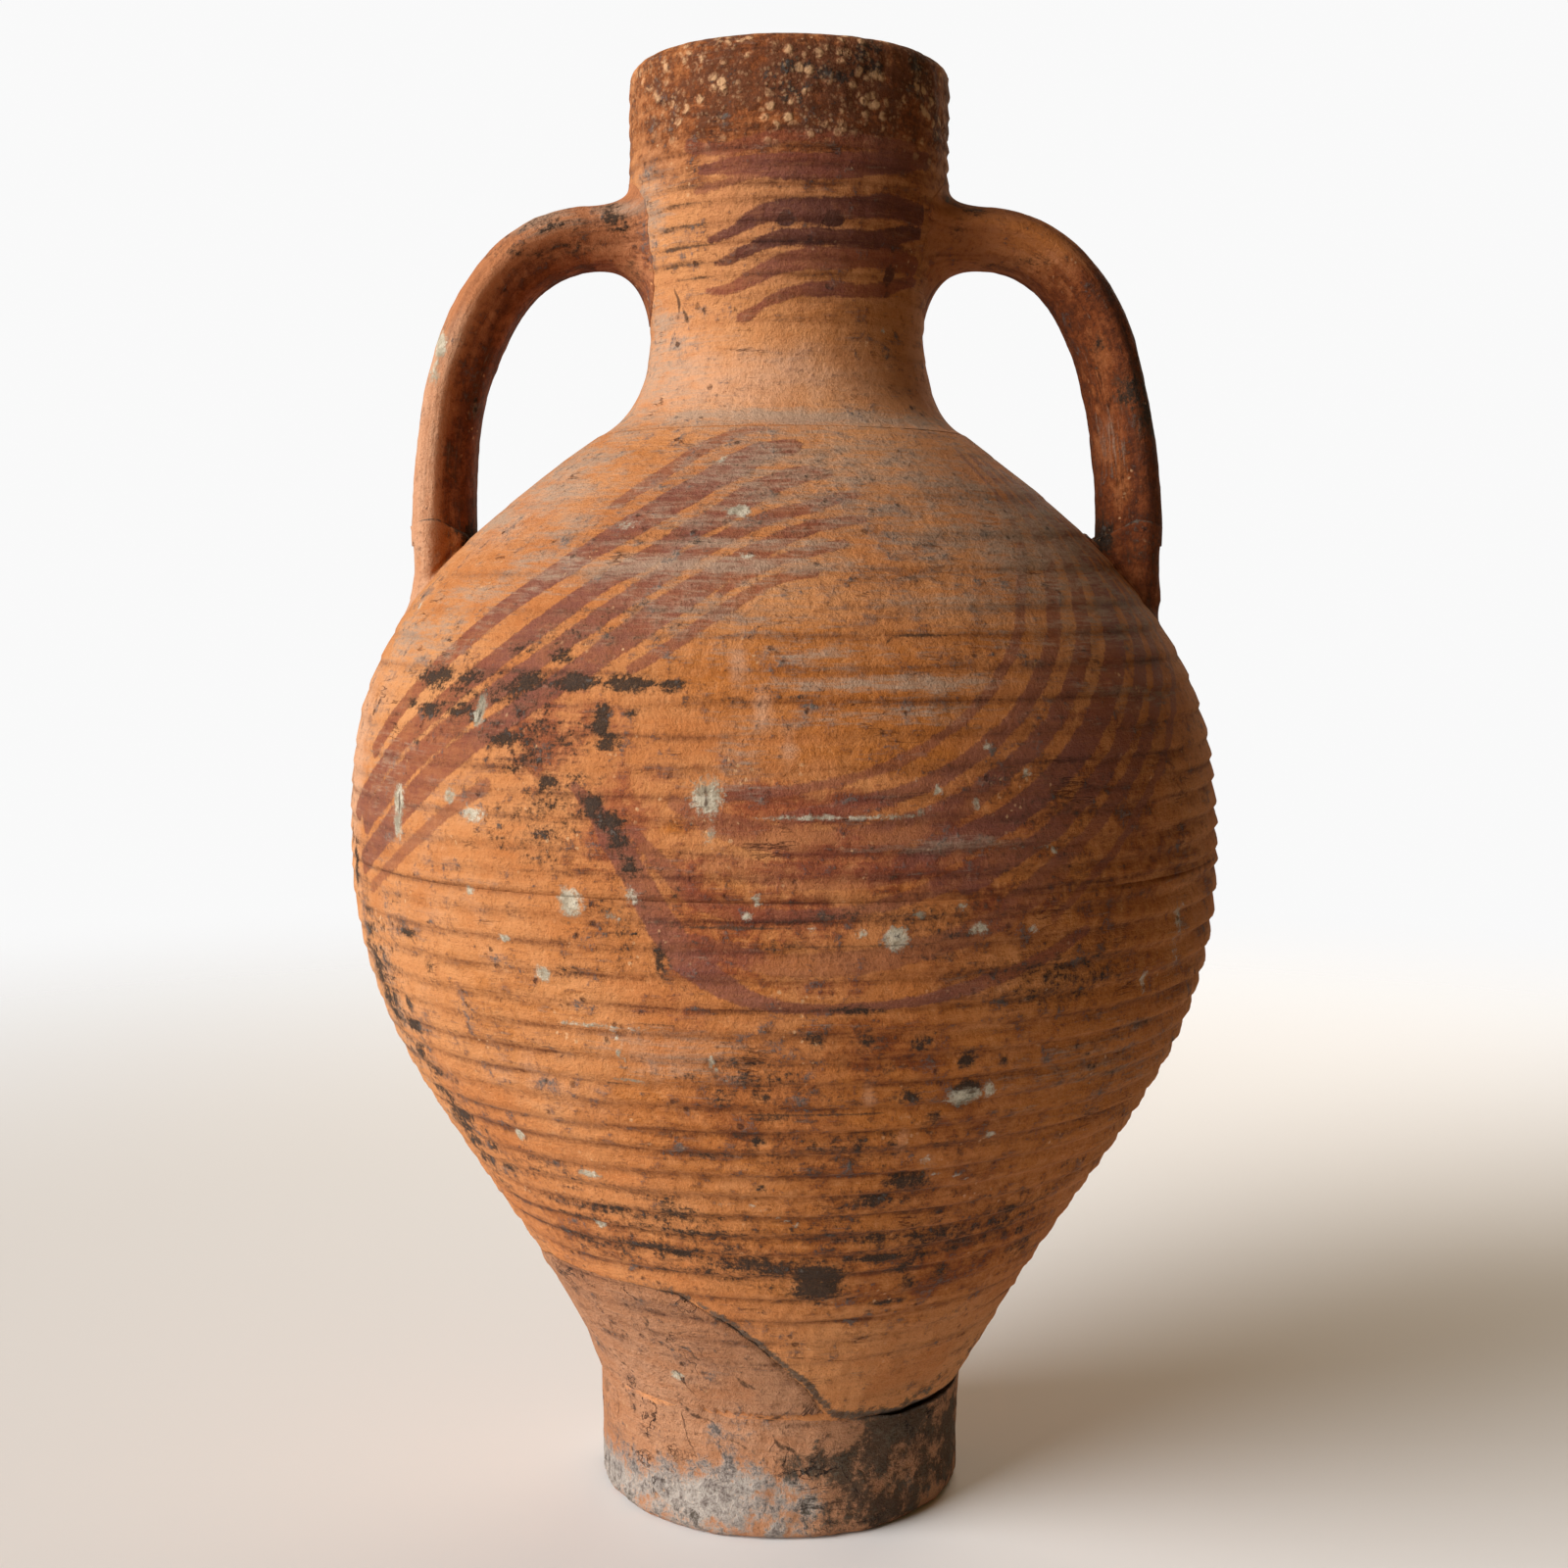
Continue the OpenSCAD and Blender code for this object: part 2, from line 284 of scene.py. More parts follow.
def throwing(theta, z):
    """The ridges that the potter's fingers left: each swells downward, then ends sharply
    in a groove. Returns the relief and how deep in a groove each place is (0 to 1)."""
    a = np.radians(theta)
    ring = np.column_stack([60 * np.sin(a), 60 * np.cos(a), 0.25 * z])
    wander = 1.1 * lattice_noise(ring, 45, 11) - 0.9 * np.sin(a - 0.4)
    wander = np.where(z > NECK_Z - 6, 0.3 * wander, wander)
    level = z + wander
    k = np.clip(np.searchsorted(GROOVES, level) - 1, 0, len(GROOVES) - 2)
    above = level - GROOVES[k]
    gap = GROOVES[k + 1] - GROOVES[k]
    swell = (1 - above / gap) ** 0.8
    edge = 1 - np.exp(-(above / 1.0) ** 2)
    depth = np.interp(z, DEPTH_Z, DEPTH)
    depth = depth * (1 + 0.25 * np.sin(a)) * (1 + 0.5 * lattice_noise(ring, 28, 23))
    cut = np.exp(-(above / 1.1) ** 2) + 0.5 * np.exp(-((gap - above) / 1.4) ** 2)
    return depth * (swell * edge - 0.5), np.clip(cut, 0, 1) * np.clip(depth / 1.2, 0, 1)


def relief(theta, z):
    """How far the real outside stands off the smooth one, in mm, and the groove field."""
    p = on_jar(theta, z)
    ridges, cut = throwing(theta, z)
    lumps = 0.7 * layered_noise(p, 70, 31, 2) + 0.16 * layered_noise(p, 14, 37, 3)
    rough = np.interp(z, [0, 60, 130, 200, 330, 388, 400, 480, 495, 520],
                      [0.5, 0.45, 0.32, 0.20, 0.13, 0.08, 0.06, 0.12, 0.34, 0.34])
    grain = rough * layered_noise(p, 4.5, 41, 2)
    return ridges + lumps + grain, cut


# ---------------------------------------------------------------- painting on the walls

def near(theta, centre):
    """The angle from centre to theta, from -180 to 180."""
    return (theta - centre + 180) % 360 - 180


def ribbon(places, path, half_widths):
    """Signed depth inside a ribbon along a path of 3-D points, in mm; positive inside."""
    best = np.full(len(places), -50.0)
    for a, b, wa, wb in zip(path, path[1:], half_widths, half_widths[1:]):
        ab = b - a
        t = np.clip((places - a) @ ab / max(ab @ ab, 1e-9), 0, 1)
        gap = np.linalg.norm(places - a - t[:, None] * ab, axis=1)
        best = np.maximum(best, wa + (wb - wa) * t - gap)
    return best


def stroke_on_jar(places, theta, points, turn=0.0, drop=0.0):
    """A painted stroke through (angle, height, width) points, turned round the jar."""
    p = through(points, 6)
    path = on_jar(p[:, 0] + turn, p[:, 1] - drop)
    middle = turn + 0.5 * (p[:, 0].min() + p[:, 0].max())
    reach = 0.5 * np.ptp(p[:, 0]) + 14
    close = (np.abs(near(theta, middle)) < reach) \
        & (places[:, 2] > p[:, 1].min() - drop - 14) & (places[:, 2] < p[:, 1].max() - drop + 14)
    field = np.full(len(places), -50.0)
    if close.any():
        field[close] = ribbon(places[close], path, p[:, 2] / 2)
    return field


# Slip strokes drawn down to the left from the neck, as (angle, height, width)
FALLING_STROKES = [
    (0.80, [(-6, 387, 3), (-10, 386.5, 4), (-15, 384, 5), (-20, 379.5, 6), (-24, 374, 6),
            (-28, 367.5, 6), (-32, 361, 4)]),
    (1.00, [(2, 380.5, 8), (-5, 378.5, 9.5), (-10, 373.5, 12), (-15, 368, 11.5),
            (-20, 361.5, 12), (-25, 354.5, 11), (-30, 347, 10), (-35, 338.5, 9.5),
            (-40, 329.5, 8), (-45, 318.5, 7), (-50, 307, 6.5), (-56, 294, 6), (-62, 280, 6)]),
    (1.00, [(9, 371, 5), (5, 371, 8), (0, 368.5, 9), (-5, 364.5, 9.5), (-10, 357.5, 9.5),
            (-15, 351.5, 8), (-20, 343.5, 8), (-25, 336.5, 7.5), (-30, 327.5, 8),
            (-35, 318, 7.5), (-40, 308, 7), (-46, 297, 7), (-53, 285, 7), (-60, 272, 7),
            (-68, 258, 7)]),
    (0.95, [(14, 364, 3), (10, 362.5, 4), (5, 359.5, 5), (0, 357.5, 5), (-5, 353.5, 5.5),
            (-10, 348, 6), (-15, 341, 6), (-20, 332, 6.5), (-25, 323, 6.5), (-30, 314, 6),
            (-36, 303, 6), (-42, 292, 7), (-49, 280, 7.5), (-56, 268, 8), (-64, 255, 8)]),
    (0.95, [(14, 356, 3), (9, 354.5, 4), (5, 353, 5.5), (0, 349, 6), (-5, 343, 8),
            (-10, 336, 9), (-15, 327.5, 9.5), (-20, 318.5, 9), (-25, 309, 7.5),
            (-31, 299, 6.5), (-37, 289, 7), (-43, 279, 8), (-50, 266, 8.5), (-57, 253, 8),
            (-65, 241, 8)]),
    (0.90, [(10, 348, 3), (5, 345.5, 4), (0, 342.5, 3.5), (-5, 337, 3), (-8, 332, 2)]),
    (0.90, [(5, 338.5, 2.5), (0, 337, 3.5), (-4, 332, 4), (-9, 324.5, 4), (-13, 317, 3.5),
            (-18, 309.5, 3)]),
    (0.70, [(-36, 273, 3), (-42, 264, 3.5), (-48, 254, 3.5), (-55, 243, 3.5), (-62, 233, 3)]),
]
# Nested swags run between these two paths, as (angle, height), with (share, width, tone)
SWAG_INNER = [(51, 382), (48, 364), (43, 348), (37, 334), (33, 321), (28, 308), (23, 297),
              (17, 287), (10, 279), (1, 274), (-6, 272)]
SWAG_OUTER = [(76, 366), (74, 350), (72, 334), (69, 318), (64, 303), (58, 290), (53, 277),
              (47, 264), (42, 252), (37, 242), (32, 232)]
SWAG_FINGERS = [(0.0, 4.0, 0.75), (0.17, 6.0, 0.85), (0.33, 6.5, 0.9), (0.52, 9.5, 1.0),
                (0.70, 7.0, 0.9), (0.84, 6.0, 0.8), (1.0, 4.0, 0.7)]
# Strokes that sweep under the belly and up again
SWEEPING_STROKES = [
    (0.90, [(-24, 274, 4), (-21, 266, 7), (-18.5, 256, 9), (-16, 245, 10), (-13.5, 233, 11),
            (-10.5, 222, 11), (-6, 213, 8), (-1, 208.5, 5), (6, 207.5, 4), (14, 209, 4),
            (22, 213, 5), (30, 219, 5), (37, 227, 4)]),
    (0.70, [(-17, 262, 4), (-13, 250, 6), (-9, 240, 6), (-3, 236.5, 5), (5, 237, 4),
            (12, 240, 5), (20, 247, 6), (27, 256, 5)]),
    (0.60, [(-12, 270, 5), (-5, 262, 9), (4, 258, 9), (12, 260, 8), (19, 266, 7), (26, 276, 5)]),
    (0.50, [(-10, 228, 6), (-2, 222, 8), (8, 222, 8), (18, 227, 8), (27, 236, 7), (34, 248, 5)]),
    (0.45, [(-8, 252, 7), (2, 248, 8), (12, 249, 8), (20, 255, 6)]),
]
# Strokes round the neck
NECK_STROKES = [
    (0.70, [(-36, 483.5, 5), (-28, 482, 4), (-20, 481.5, 5), (-8, 484, 5), (4, 485, 5),
            (18, 485, 5), (34, 484, 5), (48, 485, 4)]),
    (1.10, [(-31, 475, 3), (-25, 475.5, 5), (-15, 475.5, 7), (0, 475, 9), (14, 475.5, 9),
            (28, 477, 8), (42, 479.5, 8), (56, 482, 6)]),
    (0.75, [(-34, 468.5, 2), (-28, 469.5, 3), (-18, 471, 2.5), (-8, 472.5, 2)]),
    (1.20, [(-30, 452.5, 2), (-25, 453.5, 3), (-18, 455.5, 4), (-10, 459.5, 6.5),
            (0, 461, 7.5), (12, 461, 8.5), (24, 462.5, 7), (38, 464, 8), (54, 463, 7)]),
    (1.25, [(-29, 444.5, 1.6), (-23, 445.5, 3), (-15, 448.5, 4), (-6, 451.5, 5), (6, 452.5, 6),
            (20, 452.5, 6), (34, 452, 8), (48, 456, 6), (56, 457, 4)]),
    (1.02, [(-34, 436, 2), (-29, 435.7, 3), (-22, 436.5, 4), (-15, 439, 5), (-6, 442.5, 6),
            (4, 445, 7.5), (16, 446, 7.5), (28, 446.5, 7), (40, 447.5, 8), (56, 446, 7)]),
    (1.30, [(42.5, 450, 5), (43, 443, 5), (42, 436, 4)]),
    (1.05, [(-19, 426.3, 3), (-15.5, 427.3, 4.4), (-11, 430, 3), (-5, 432.5, 4),
            (4, 435, 4.5), (16, 435.8, 5), (30, 435.8, 5), (42, 437, 5), (50, 439.5, 4.5),
            (60, 441, 3)]),
    (1.50, [(-1, 460, 8.4), (-0.9, 460, 8.4)]),
    (1.60, [(15.5, 460.3, 10), (15.6, 460.3, 10)]),
    (1.50, [(24, 476, 6), (28, 476.5, 6.5)]),
]
# The back carries the same hand's pattern again, turned by these angles and a little lower
BACK_TURNS = [(128.0, 6.0), (205.0, -3.0)]


def swag_strokes():
    """The nested swags, each a share of the way from the inner path to the outer."""
    inner, outer = np.array(SWAG_INNER, float), np.array(SWAG_OUTER, float)
    for share, width, tone in SWAG_FINGERS:
        line = inner + share * (outer - inner)
        fade = np.interp(np.arange(len(line)), [0, 2, len(line) - 1], [0.75, 1.15, 0.9])
        yield tone, np.column_stack([line, width * fade])


def paint_slip(places, theta):
    """Depth inside the nearest slip stroke, and how strong that stroke is."""
    depth = np.full(len(places), -50.0)
    tone = np.zeros(len(places))

    def lay(strokes, turn=0.0, drop=0.0, strength=1.0, wider=0.0):
        for strong, points in strokes:
            field = stroke_on_jar(places, theta, points, turn, drop) + wider / 2
            front = field > depth
            tone[front] = strong * strength
            depth[front] = field[front]

    swags = list(swag_strokes())
    lay(SWEEPING_STROKES)
    lay(swags)
    lay(FALLING_STROKES, wider=1.6)
    lay(NECK_STROKES, wider=0.6)
    for turn, drop in BACK_TURNS:
        lay(swags, turn, drop, 0.9)
    lay(FALLING_STROKES, 178.0, 2.0, 0.9, wider=1.2)
    lay(SWEEPING_STROKES, 186.0, -4.0, 0.9)
    lay(NECK_STROKES, 176.0, 1.0, 0.9)
    return depth, tone


# Soft-edged patches as (angle, height, half-length round the jar, half-height, strength)
SOOT = [
    (-49, 305, 10, 4, 1.0), (-42, 305, 8, 2.5, 0.9), (-32, 305, 6, 3, 1.1), (-28, 313, 5, 2.5, 1.1),
    (-34, 314, 7, 3, 0.6), (-25, 305, 8, 2.5, 1.2), (-18, 304.5, 9, 2.5, 1.2),
    (-13, 304, 5, 2, 1.0), (-8, 304, 6, 2, 0.5), (-22, 312, 5, 2, 0.5),
    (-53, 297, 4, 2.5, 0.8), (-48, 295, 8, 3, 1.0), (-42, 295, 8, 2, 1.0), (-39, 294, 3, 2.5, 1.0),
    (-31, 295.5, 11, 1.3, 0.8), (-21, 294, 2.6, 5, 1.2), (-20, 287.5, 5, 2.5, 1.2),
    (-17.5, 296, 2.5, 2, 0.6), (-50, 287, 6, 3, 0.6), (-34, 287, 8, 1.6, 0.9),
    (-26, 287, 7, 2, 0.7), (-27.5, 275, 4, 2, 1.1), (-24, 276, 5, 3, 0.8), (-21, 276, 3, 2, 0.7),
    (-28, 267, 7, 3, 0.6), (-21.5, 268, 3.5, 3, 1.2), (-19.5, 263.5, 4.5, 3, 1.1),
    (-18.5, 257, 4, 4, 0.9), (-17, 250, 4, 3.5, 0.8), (-34, 256, 9, 4, 0.5),
    (-26, 256, 6, 3, 0.5), (-32, 278, 5, 3, 0.6), (-70, 239, 4, 9, 1.0), (-73, 248, 3, 4, 0.8),
    (-66, 217, 6, 3, 0.9), (-68, 212, 5, 3, 0.9), (-62, 213, 5, 2, 0.7), (-61, 221, 5, 1.3, 0.7),
    (-52, 221, 5, 1, 0.8), (-55, 231, 5, 1.2, 0.6), (-48, 211, 3, 2, 1.0), (-62, 196, 4, 4, 0.9),
    (-57, 195, 4, 3, 0.9), (-58, 187, 7, 3, 1.0), (-60, 177, 6, 2.5, 0.9), (-60, 163, 9, 2.5, 0.8),
    (-56, 155, 8, 3, 1.0), (-50, 152, 4, 2, 0.8), (-51, 147, 4, 3, 0.8), (-50, 139, 5, 2, 0.8),
    (-57, 123, 5, 2, 0.6), (-25, 216, 6, 4, 0.5), (-24, 228, 7, 5, 0.45),
    (-14, 222, 2, 6, 0.8), (3, 196, 4.5, 3.5, 0.9), (9, 196, 4, 4, 0.9), (16, 196, 5, 3.5, 0.8),
    (8, 207, 10, 2.2, 0.8), (33, 214, 14, 5, 0.7), (40, 208, 9, 4, 0.5), (6, 187, 2, 5, 0.8),
    (12, 187, 3, 3, 0.7), (22, 188, 3.5, 3.5, 1.0), (22.5, 177.5, 3.6, 2.6, 2.0),
    (27, 187, 2, 2, 0.8), (15, 178, 6, 3, 0.7), (-8, 178, 5, 3, 0.8), (-3, 178, 5, 2.5, 0.7),
    (5, 178, 7, 3, 0.6), (14, 164, 3, 5, 0.8), (19, 169, 3, 2, 0.9), (-2, 171, 7, 2, 0.7),
    (-4, 162, 3, 2, 0.9), (9, 162, 5, 3, 0.6), (9, 155, 8, 3, 0.6), (17, 146, 8, 3, 0.9),
    (12, 139, 8, 2.5, 0.9), (-4, 145, 3, 2, 0.9), (-18, 134, 6, 4, 0.9), (-15, 135, 4, 3, 0.7),
    (-29, 131, 6, 3, 0.7), (-36, 125, 14, 2, 0.6), (-16, 125, 16, 1.6, 0.8),
    (-25, 117, 26, 1.8, 0.8), (-19, 115, 5, 3, 0.9), (-6, 114, 9, 5, 0.8), (-3, 109, 8, 4, 0.75),
    (-10, 119, 6, 4, 0.7), (5, 106, 9.5, 8.5, 1.15), (2, 112, 6, 4, 0.7),
    (15, 114.5, 14, 1.3, 1.1), (21, 109, 7, 5, 0.75), (23, 103, 4, 6, 0.75),
    (30, 105, 6, 3, 0.7), (14, 123, 9, 2.5, 0.7), (8, 131, 10, 3, 0.5), (25, 128, 10, 4, 0.5),
    (47, 115, 5, 3, 0.6), (50, 140, 5, 2, 0.5), (20, 94, 7, 1, 0.9), (-42, 111, 6, 1, 0.6),
    (-40, 118, 12, 3, 0.4), (38, 108, 10, 3, 0.5), (52, 104, 12, 6, 0.5),
    (-58, 150, 8, 30, 0.7), (-65, 200, 8, 30, 0.75), (-20, 127, 50, 9, 0.55),
    (-8, 112, 40, 10, 0.62), (20, 120, 40, 12, 0.55),
    (-30, 116, 40, 6, 0.55), (10, 138, 50, 8, 0.45), (40, 122, 30, 14, 0.45),
    (10, 160, 60, 16, 0.40), (-30, 140, 50, 8, 0.40), (0, 186, 36, 10, 0.42),
    (-38, 300, 34, 10, 0.55), (-30, 288, 24, 10, 0.52), (-28, 262, 20, 16, 0.46),
    (-20, 238, 24, 18, 0.38), (-60, 205, 16, 20, 0.50), (-58, 165, 12, 22, 0.52),
    (34, 214, 30, 12, 0.55), (12, 232, 40, 10, 0.46), (30, 262, 30, 30, 0.36),
    (-24, 322, 26, 8, 0.36), (-14, 350, 40, 8, 0.34), (46, 180, 30, 24, 0.36),
    (8, 372, 40, 8, 0.34), (24, 340, 40, 10, 0.30), (-4, 302, 26, 3, 0.45),
]
LIME = [
    (-53, 265, 3, 4, 1.3), (-53, 257, 2.6, 4, 1.0), (-38.5, 296, 2.2, 5, 1.0),
    (-42, 269, 2.5, 2.5, 0.9), (-38, 263.5, 5, 2.5, 0.8), (-8.3, 272, 4.6, 5.4, 0.95),
    (-8, 260, 2, 4, 0.6), (-24.5, 238.5, 4.2, 4.5, 1.0), (-29, 215, 2.6, 3, 0.9),
    (-39, 239, 2, 1.5, 0.9), (-34, 225.5, 1.8, 1, 1.1), (-41.5, 155, 1.8, 1.8, 1.3),
    (-30.5, 144, 4, 1.6, 0.9), (-33.5, 123, 2, 1.5, 1.0), (-30, 60, 3, 1.6, 1.0),
    (12.3, 229, 3.4, 3.2, 1.1), (8.5, 231, 2.2, 1.6, 0.8), (22, 231, 3, 2, 0.8),
    (29, 229.5, 2.2, 1.5, 0.7), (56, 226, 3, 6, 0.65), (56, 214, 2.5, 5, 0.6),
    (49, 206, 2, 4, 0.7), (29, 277.5, 1.8, 1.5, 0.9), (22, 268.5, 1.6, 1.3, 1.0),
    (17.5, 273.5, 1.3, 1.2, 1.1), (-7, 358.5, 4, 2, 1.0), (-13, 376, 3, 1.5, 0.6),
    (-26, 354, 4, 2, 0.6), (22.5, 175.6, 6, 2.6, 1.0), (26, 177, 2, 3, 0.9), (28, 160, 2, 1.6, 0.8),
    (19, 153, 3, 3, 0.5), (-3, 241, 1.6, 1.6, 0.9), (-4, 236, 1.6, 1.2, 0.9),
    (15, 236, 2, 1.6, 0.8),
    (20, 238, 1.6, 1.6, 0.8), (15, 276, 1.6, 1, 0.8), (24, 286, 1.6, 1.2, 0.7),
    (-17, 241, 3, 4, 0.6), (-19, 235, 4, 2, 0.5), (42, 423, 1.4, 1, 0.7), (-5, 344, 3, 1.4, 0.7),
    (3, 232, 1.6, 1.2, 0.8), (32, 253, 1.4, 1.2, 0.7), (16, 268, 3, 1.6, 0.5),
    (-67, 328, 3, 2, 0.6),
]
# Streaks where the film was wiped off the belly, as (angle, height, width)
WIPED = [
    [(1, 199, 2), (4, 190, 4), (8, 181, 5), (13, 170, 6), (17, 160, 6), (22, 149, 5), (26, 141, 3)],
    [(-5, 205, 2), (-1, 196, 3.5), (3, 186, 4), (7, 175, 4), (10, 166, 3), (13, 158, 2)],
    [(8, 196, 2), (13, 186, 3.5), (18, 176, 4), (23, 164, 4), (28, 154, 3)],
    [(-14, 176, 2), (-10, 166, 4), (-6, 155, 5), (-1, 144, 4), (4, 134, 3)],
    [(-4, 316, 2), (-2, 306, 6), (0, 296, 7), (2, 286, 6), (4, 278, 3)],
    [(-11, 318, 2), (-9, 309, 4), (-7, 300, 5), (-5, 291, 3)],
    [(20, 322, 2), (26, 314, 5), (32, 305, 5), (38, 296, 3)],
]
# Thin white lines of lime along grooves and cracks, as (angle, height, width)
LIME_LINES = [
    [(-28, 200, 0.6), (-24, 199.7, 1.6), (-21, 199.3, 1.3), (-16, 199.5, 0.5)],
    [(-21, 199, 1.0), (-20, 194, 1.7), (-20.3, 190, 1.5), (-19, 186, 0.6)],
    [(-22.5, 181.7, 0.7), (-20, 181.6, 1.8), (-17, 181.2, 1.8), (-13, 181, 0.8),
     (-7, 181.3, 0.9), (-4, 181.5, 0.5)],
    [(-9.5, 199, 0.5), (-9.3, 194, 1.3), (-8.8, 188, 1.5), (-7, 183, 0.6)],
    [(-6, 266.5, 0.5), (0, 266, 1.2), (8, 265.5, 1.2), (16, 265.8, 0.6)],
    [(10, 255.8, 0.5), (20, 255.5, 1.0), (32, 255.0, 0.6)],
    [(2, 181, 0.6), (6, 181.3, 1.0), (9, 181.2, 0.6)],
    [(-12, 137, 0.5), (-6, 138, 0.9), (-1, 132, 1.1), (2, 129, 0.6)],
    [(18, 148, 0.5), (24, 146, 1.0), (29, 142, 0.6)],
]
# Long soft patches: pale bloom, red wash, bare ochre and pale clay. The pale clay and pale bloom
# towards the left limb are partly painted light, where the key light falls
HAZE_AND_PAINTED_LIGHT = [
    (45, 352, 60, 26, 0.62), (28, 366, 50, 16, 0.5), (-30, 366, 40, 10, 0.35),
    (0, 391, 60, 4, 0.9), (-60, 391, 40, 4, 0.5), (-10, 341, 55, 3.5, 0.85), (-5, 348, 40, 2, 0.7),
    (-70, 375, 30, 12, 0.6), (-68, 358, 24, 5, 0.8), (-40, 355, 14, 6, 0.45),
    (-38, 341, 26, 8, 0.5),
    (15, 372, 60, 16, 0.6), (30, 352, 60, 16, 0.5), (-8, 330, 40, 12, 0.4),
    (55, 345, 60, 30, 0.45), (10, 305, 34, 2.5, 0.8),
    (20, 305, 22, 3, 0.7), (12, 296, 30, 3, 0.5), (50, 300, 40, 4, 0.35), (-8, 315, 20, 4, 0.3),
    (40, 320, 40, 6, 0.4), (25, 330, 26, 4, 0.6), (-50, 330, 26, 9, 0.45), (-60, 318, 30, 10, 0.5),
    (-16, 357, 34, 5, 0.4), (-60, 272, 30, 12, 0.3), (5, 313, 24, 5, 0.45), (20, 257, 24, 2.5, 0.5),
    (45, 180, 40, 14, 0.3), (-15, 191, 22, 9, 0.35), (-62, 465, 14, 12, 0.6), (-66, 426, 9, 9, 0.7),
    (-62, 405, 30, 20, 0.5), (-52, 374, 26, 20, 0.6), (-64, 190, 20, 40, 0.32),
    (-5, 288, 8, 12, 0.3), (56, 222, 8, 20, 0.25),
]
REDNESS = [
    (0, 268, 38, 9, 0.85), (10, 252, 44, 13, 0.85), (0, 236, 34, 11, 0.8), (24, 262, 30, 16, 0.75),
    (2, 246, 46, 30, 0.35), (-28, 292, 24, 20, 0.75), (-12, 205, 20, 10, 0.5),
    (-18, 262, 16, 22, 0.8), (-10, 238, 12, 26, 0.75), (-36, 306, 26, 8, 0.6),
    (-6, 222, 20, 10, 0.7), (25, 240, 34, 10, 0.6), (-48, 282, 30, 22, 0.5),
    (-62, 262, 26, 22, 0.2),
    (-30, 291, 26, 8, 0.6), (40, 285, 30, 20, 0.5), (52, 310, 34, 22, 0.35), (-13, 240, 8, 26, 0.6),
    (6, 215, 34, 5, 0.5), (-8, 282, 12, 5, 0.35), (0, 476, 44, 8, 0.4), (12, 460, 40, 14, 0.3),
    (-50, 252, 34, 8, 0.3), (60, 240, 40, 40, 0.2), (20, 170, 40, 40, 0.15),
]
OCHRE = [
    (44, 190, 60, 80, 0.85), (12, 125, 70, 34, 0.7), (30, 250, 60, 50, 0.6), (50, 470, 40, 60, 0.6),
    (16, 180, 48, 44, 0.8), (34, 112, 50, 26, 0.9), (2, 308, 40, 14, 0.95), (10, 505, 60, 18, 0.7),
    (30, 425, 40, 26, 0.5), (-6, 225, 30, 24, 0.6),
    (12, 300, 44, 20, 0.9), (14, 284, 24, 7, 0.9), (-6, 310, 14, 6, 0.6), (-22, 235, 24, 26, 0.5),
    (-10, 170, 44, 40, 0.6), (10, 150, 50, 40, 0.7), (0, 120, 60, 14, 0.6), (45, 235, 30, 22, 0.5),
    (30, 318, 30, 4, 0.8), (16, 339, 34, 3, 0.6), (14, 244, 16, 2.5, 0.8), (22, 261, 14, 2.5, 0.7),
    (-35, 205, 40, 30, 0.35), (-40, 380, 26, 8, 0.5), (-12, 262, 5, 2, 0.8),
]
PALE_AND_PAINTED_LIGHT = [
    (-62, 362, 44, 20, 0.6), (-70, 250, 20, 70, 0.5), (-46, 262, 30, 40, 0.3),
    (-34, 175, 30, 22, 0.3),
    (-20, 405, 60, 16, 0.7), (-70, 410, 40, 22, 0.6), (-60, 200, 30, 60, 0.35),
    (-66, 300, 30, 40, 0.4),
    (-45, 60, 40, 34, 0.45), (-10, 40, 24, 18, 0.5), (-55, 480, 20, 24, 0.45),
    (-15, 191, 20, 9, 0.5),
    (-72, 272, 18, 34, 0.95), (-74, 200, 16, 40, 0.5), (-2, 298, 3.2, 7, 0.7),
    (-5, 310, 3.2, 7, 0.7), (1, 286, 3.2, 7, 0.6), (10, 180, 2.5, 7, 0.5),
    (15, 163, 2.5, 7, 0.5), (20, 150, 2.5, 6, 0.4), (-40, 230, 30, 20, 0.3), (28, 212, 30, 4, 0.3),
]
CRUST = [
    (8, 508, 24, 13, 1.0), (26, 509, 20, 13, 1.1), (0, 498, 16, 8, 0.95), (45, 511, 22, 11, 0.95),
    (0, 503, 64, 16, 0.85), (0, 500, 90, 13, 0.55), (-40, 508, 46, 12, 0.55),
    (64, 500, 30, 18, 0.7), (16, 494, 30, 8, 0.7),
    (20, 505, 9, 4, 1.3), (28, 516, 14, 5, 1.2), (-30, 516, 26, 4, 0.5), (35, 494, 18, 8, 0.7),
    (55, 496, 16, 14, 0.6), (-8, 512, 14, 8, 0.7), (-45, 512, 10, 5, 0.5), (180, 508, 60, 12, 0.7),
    (120, 512, 40, 8, 0.8), (10, 489, 26, 4, 0.5), (-100, 513, 40, 6, 0.5),
]
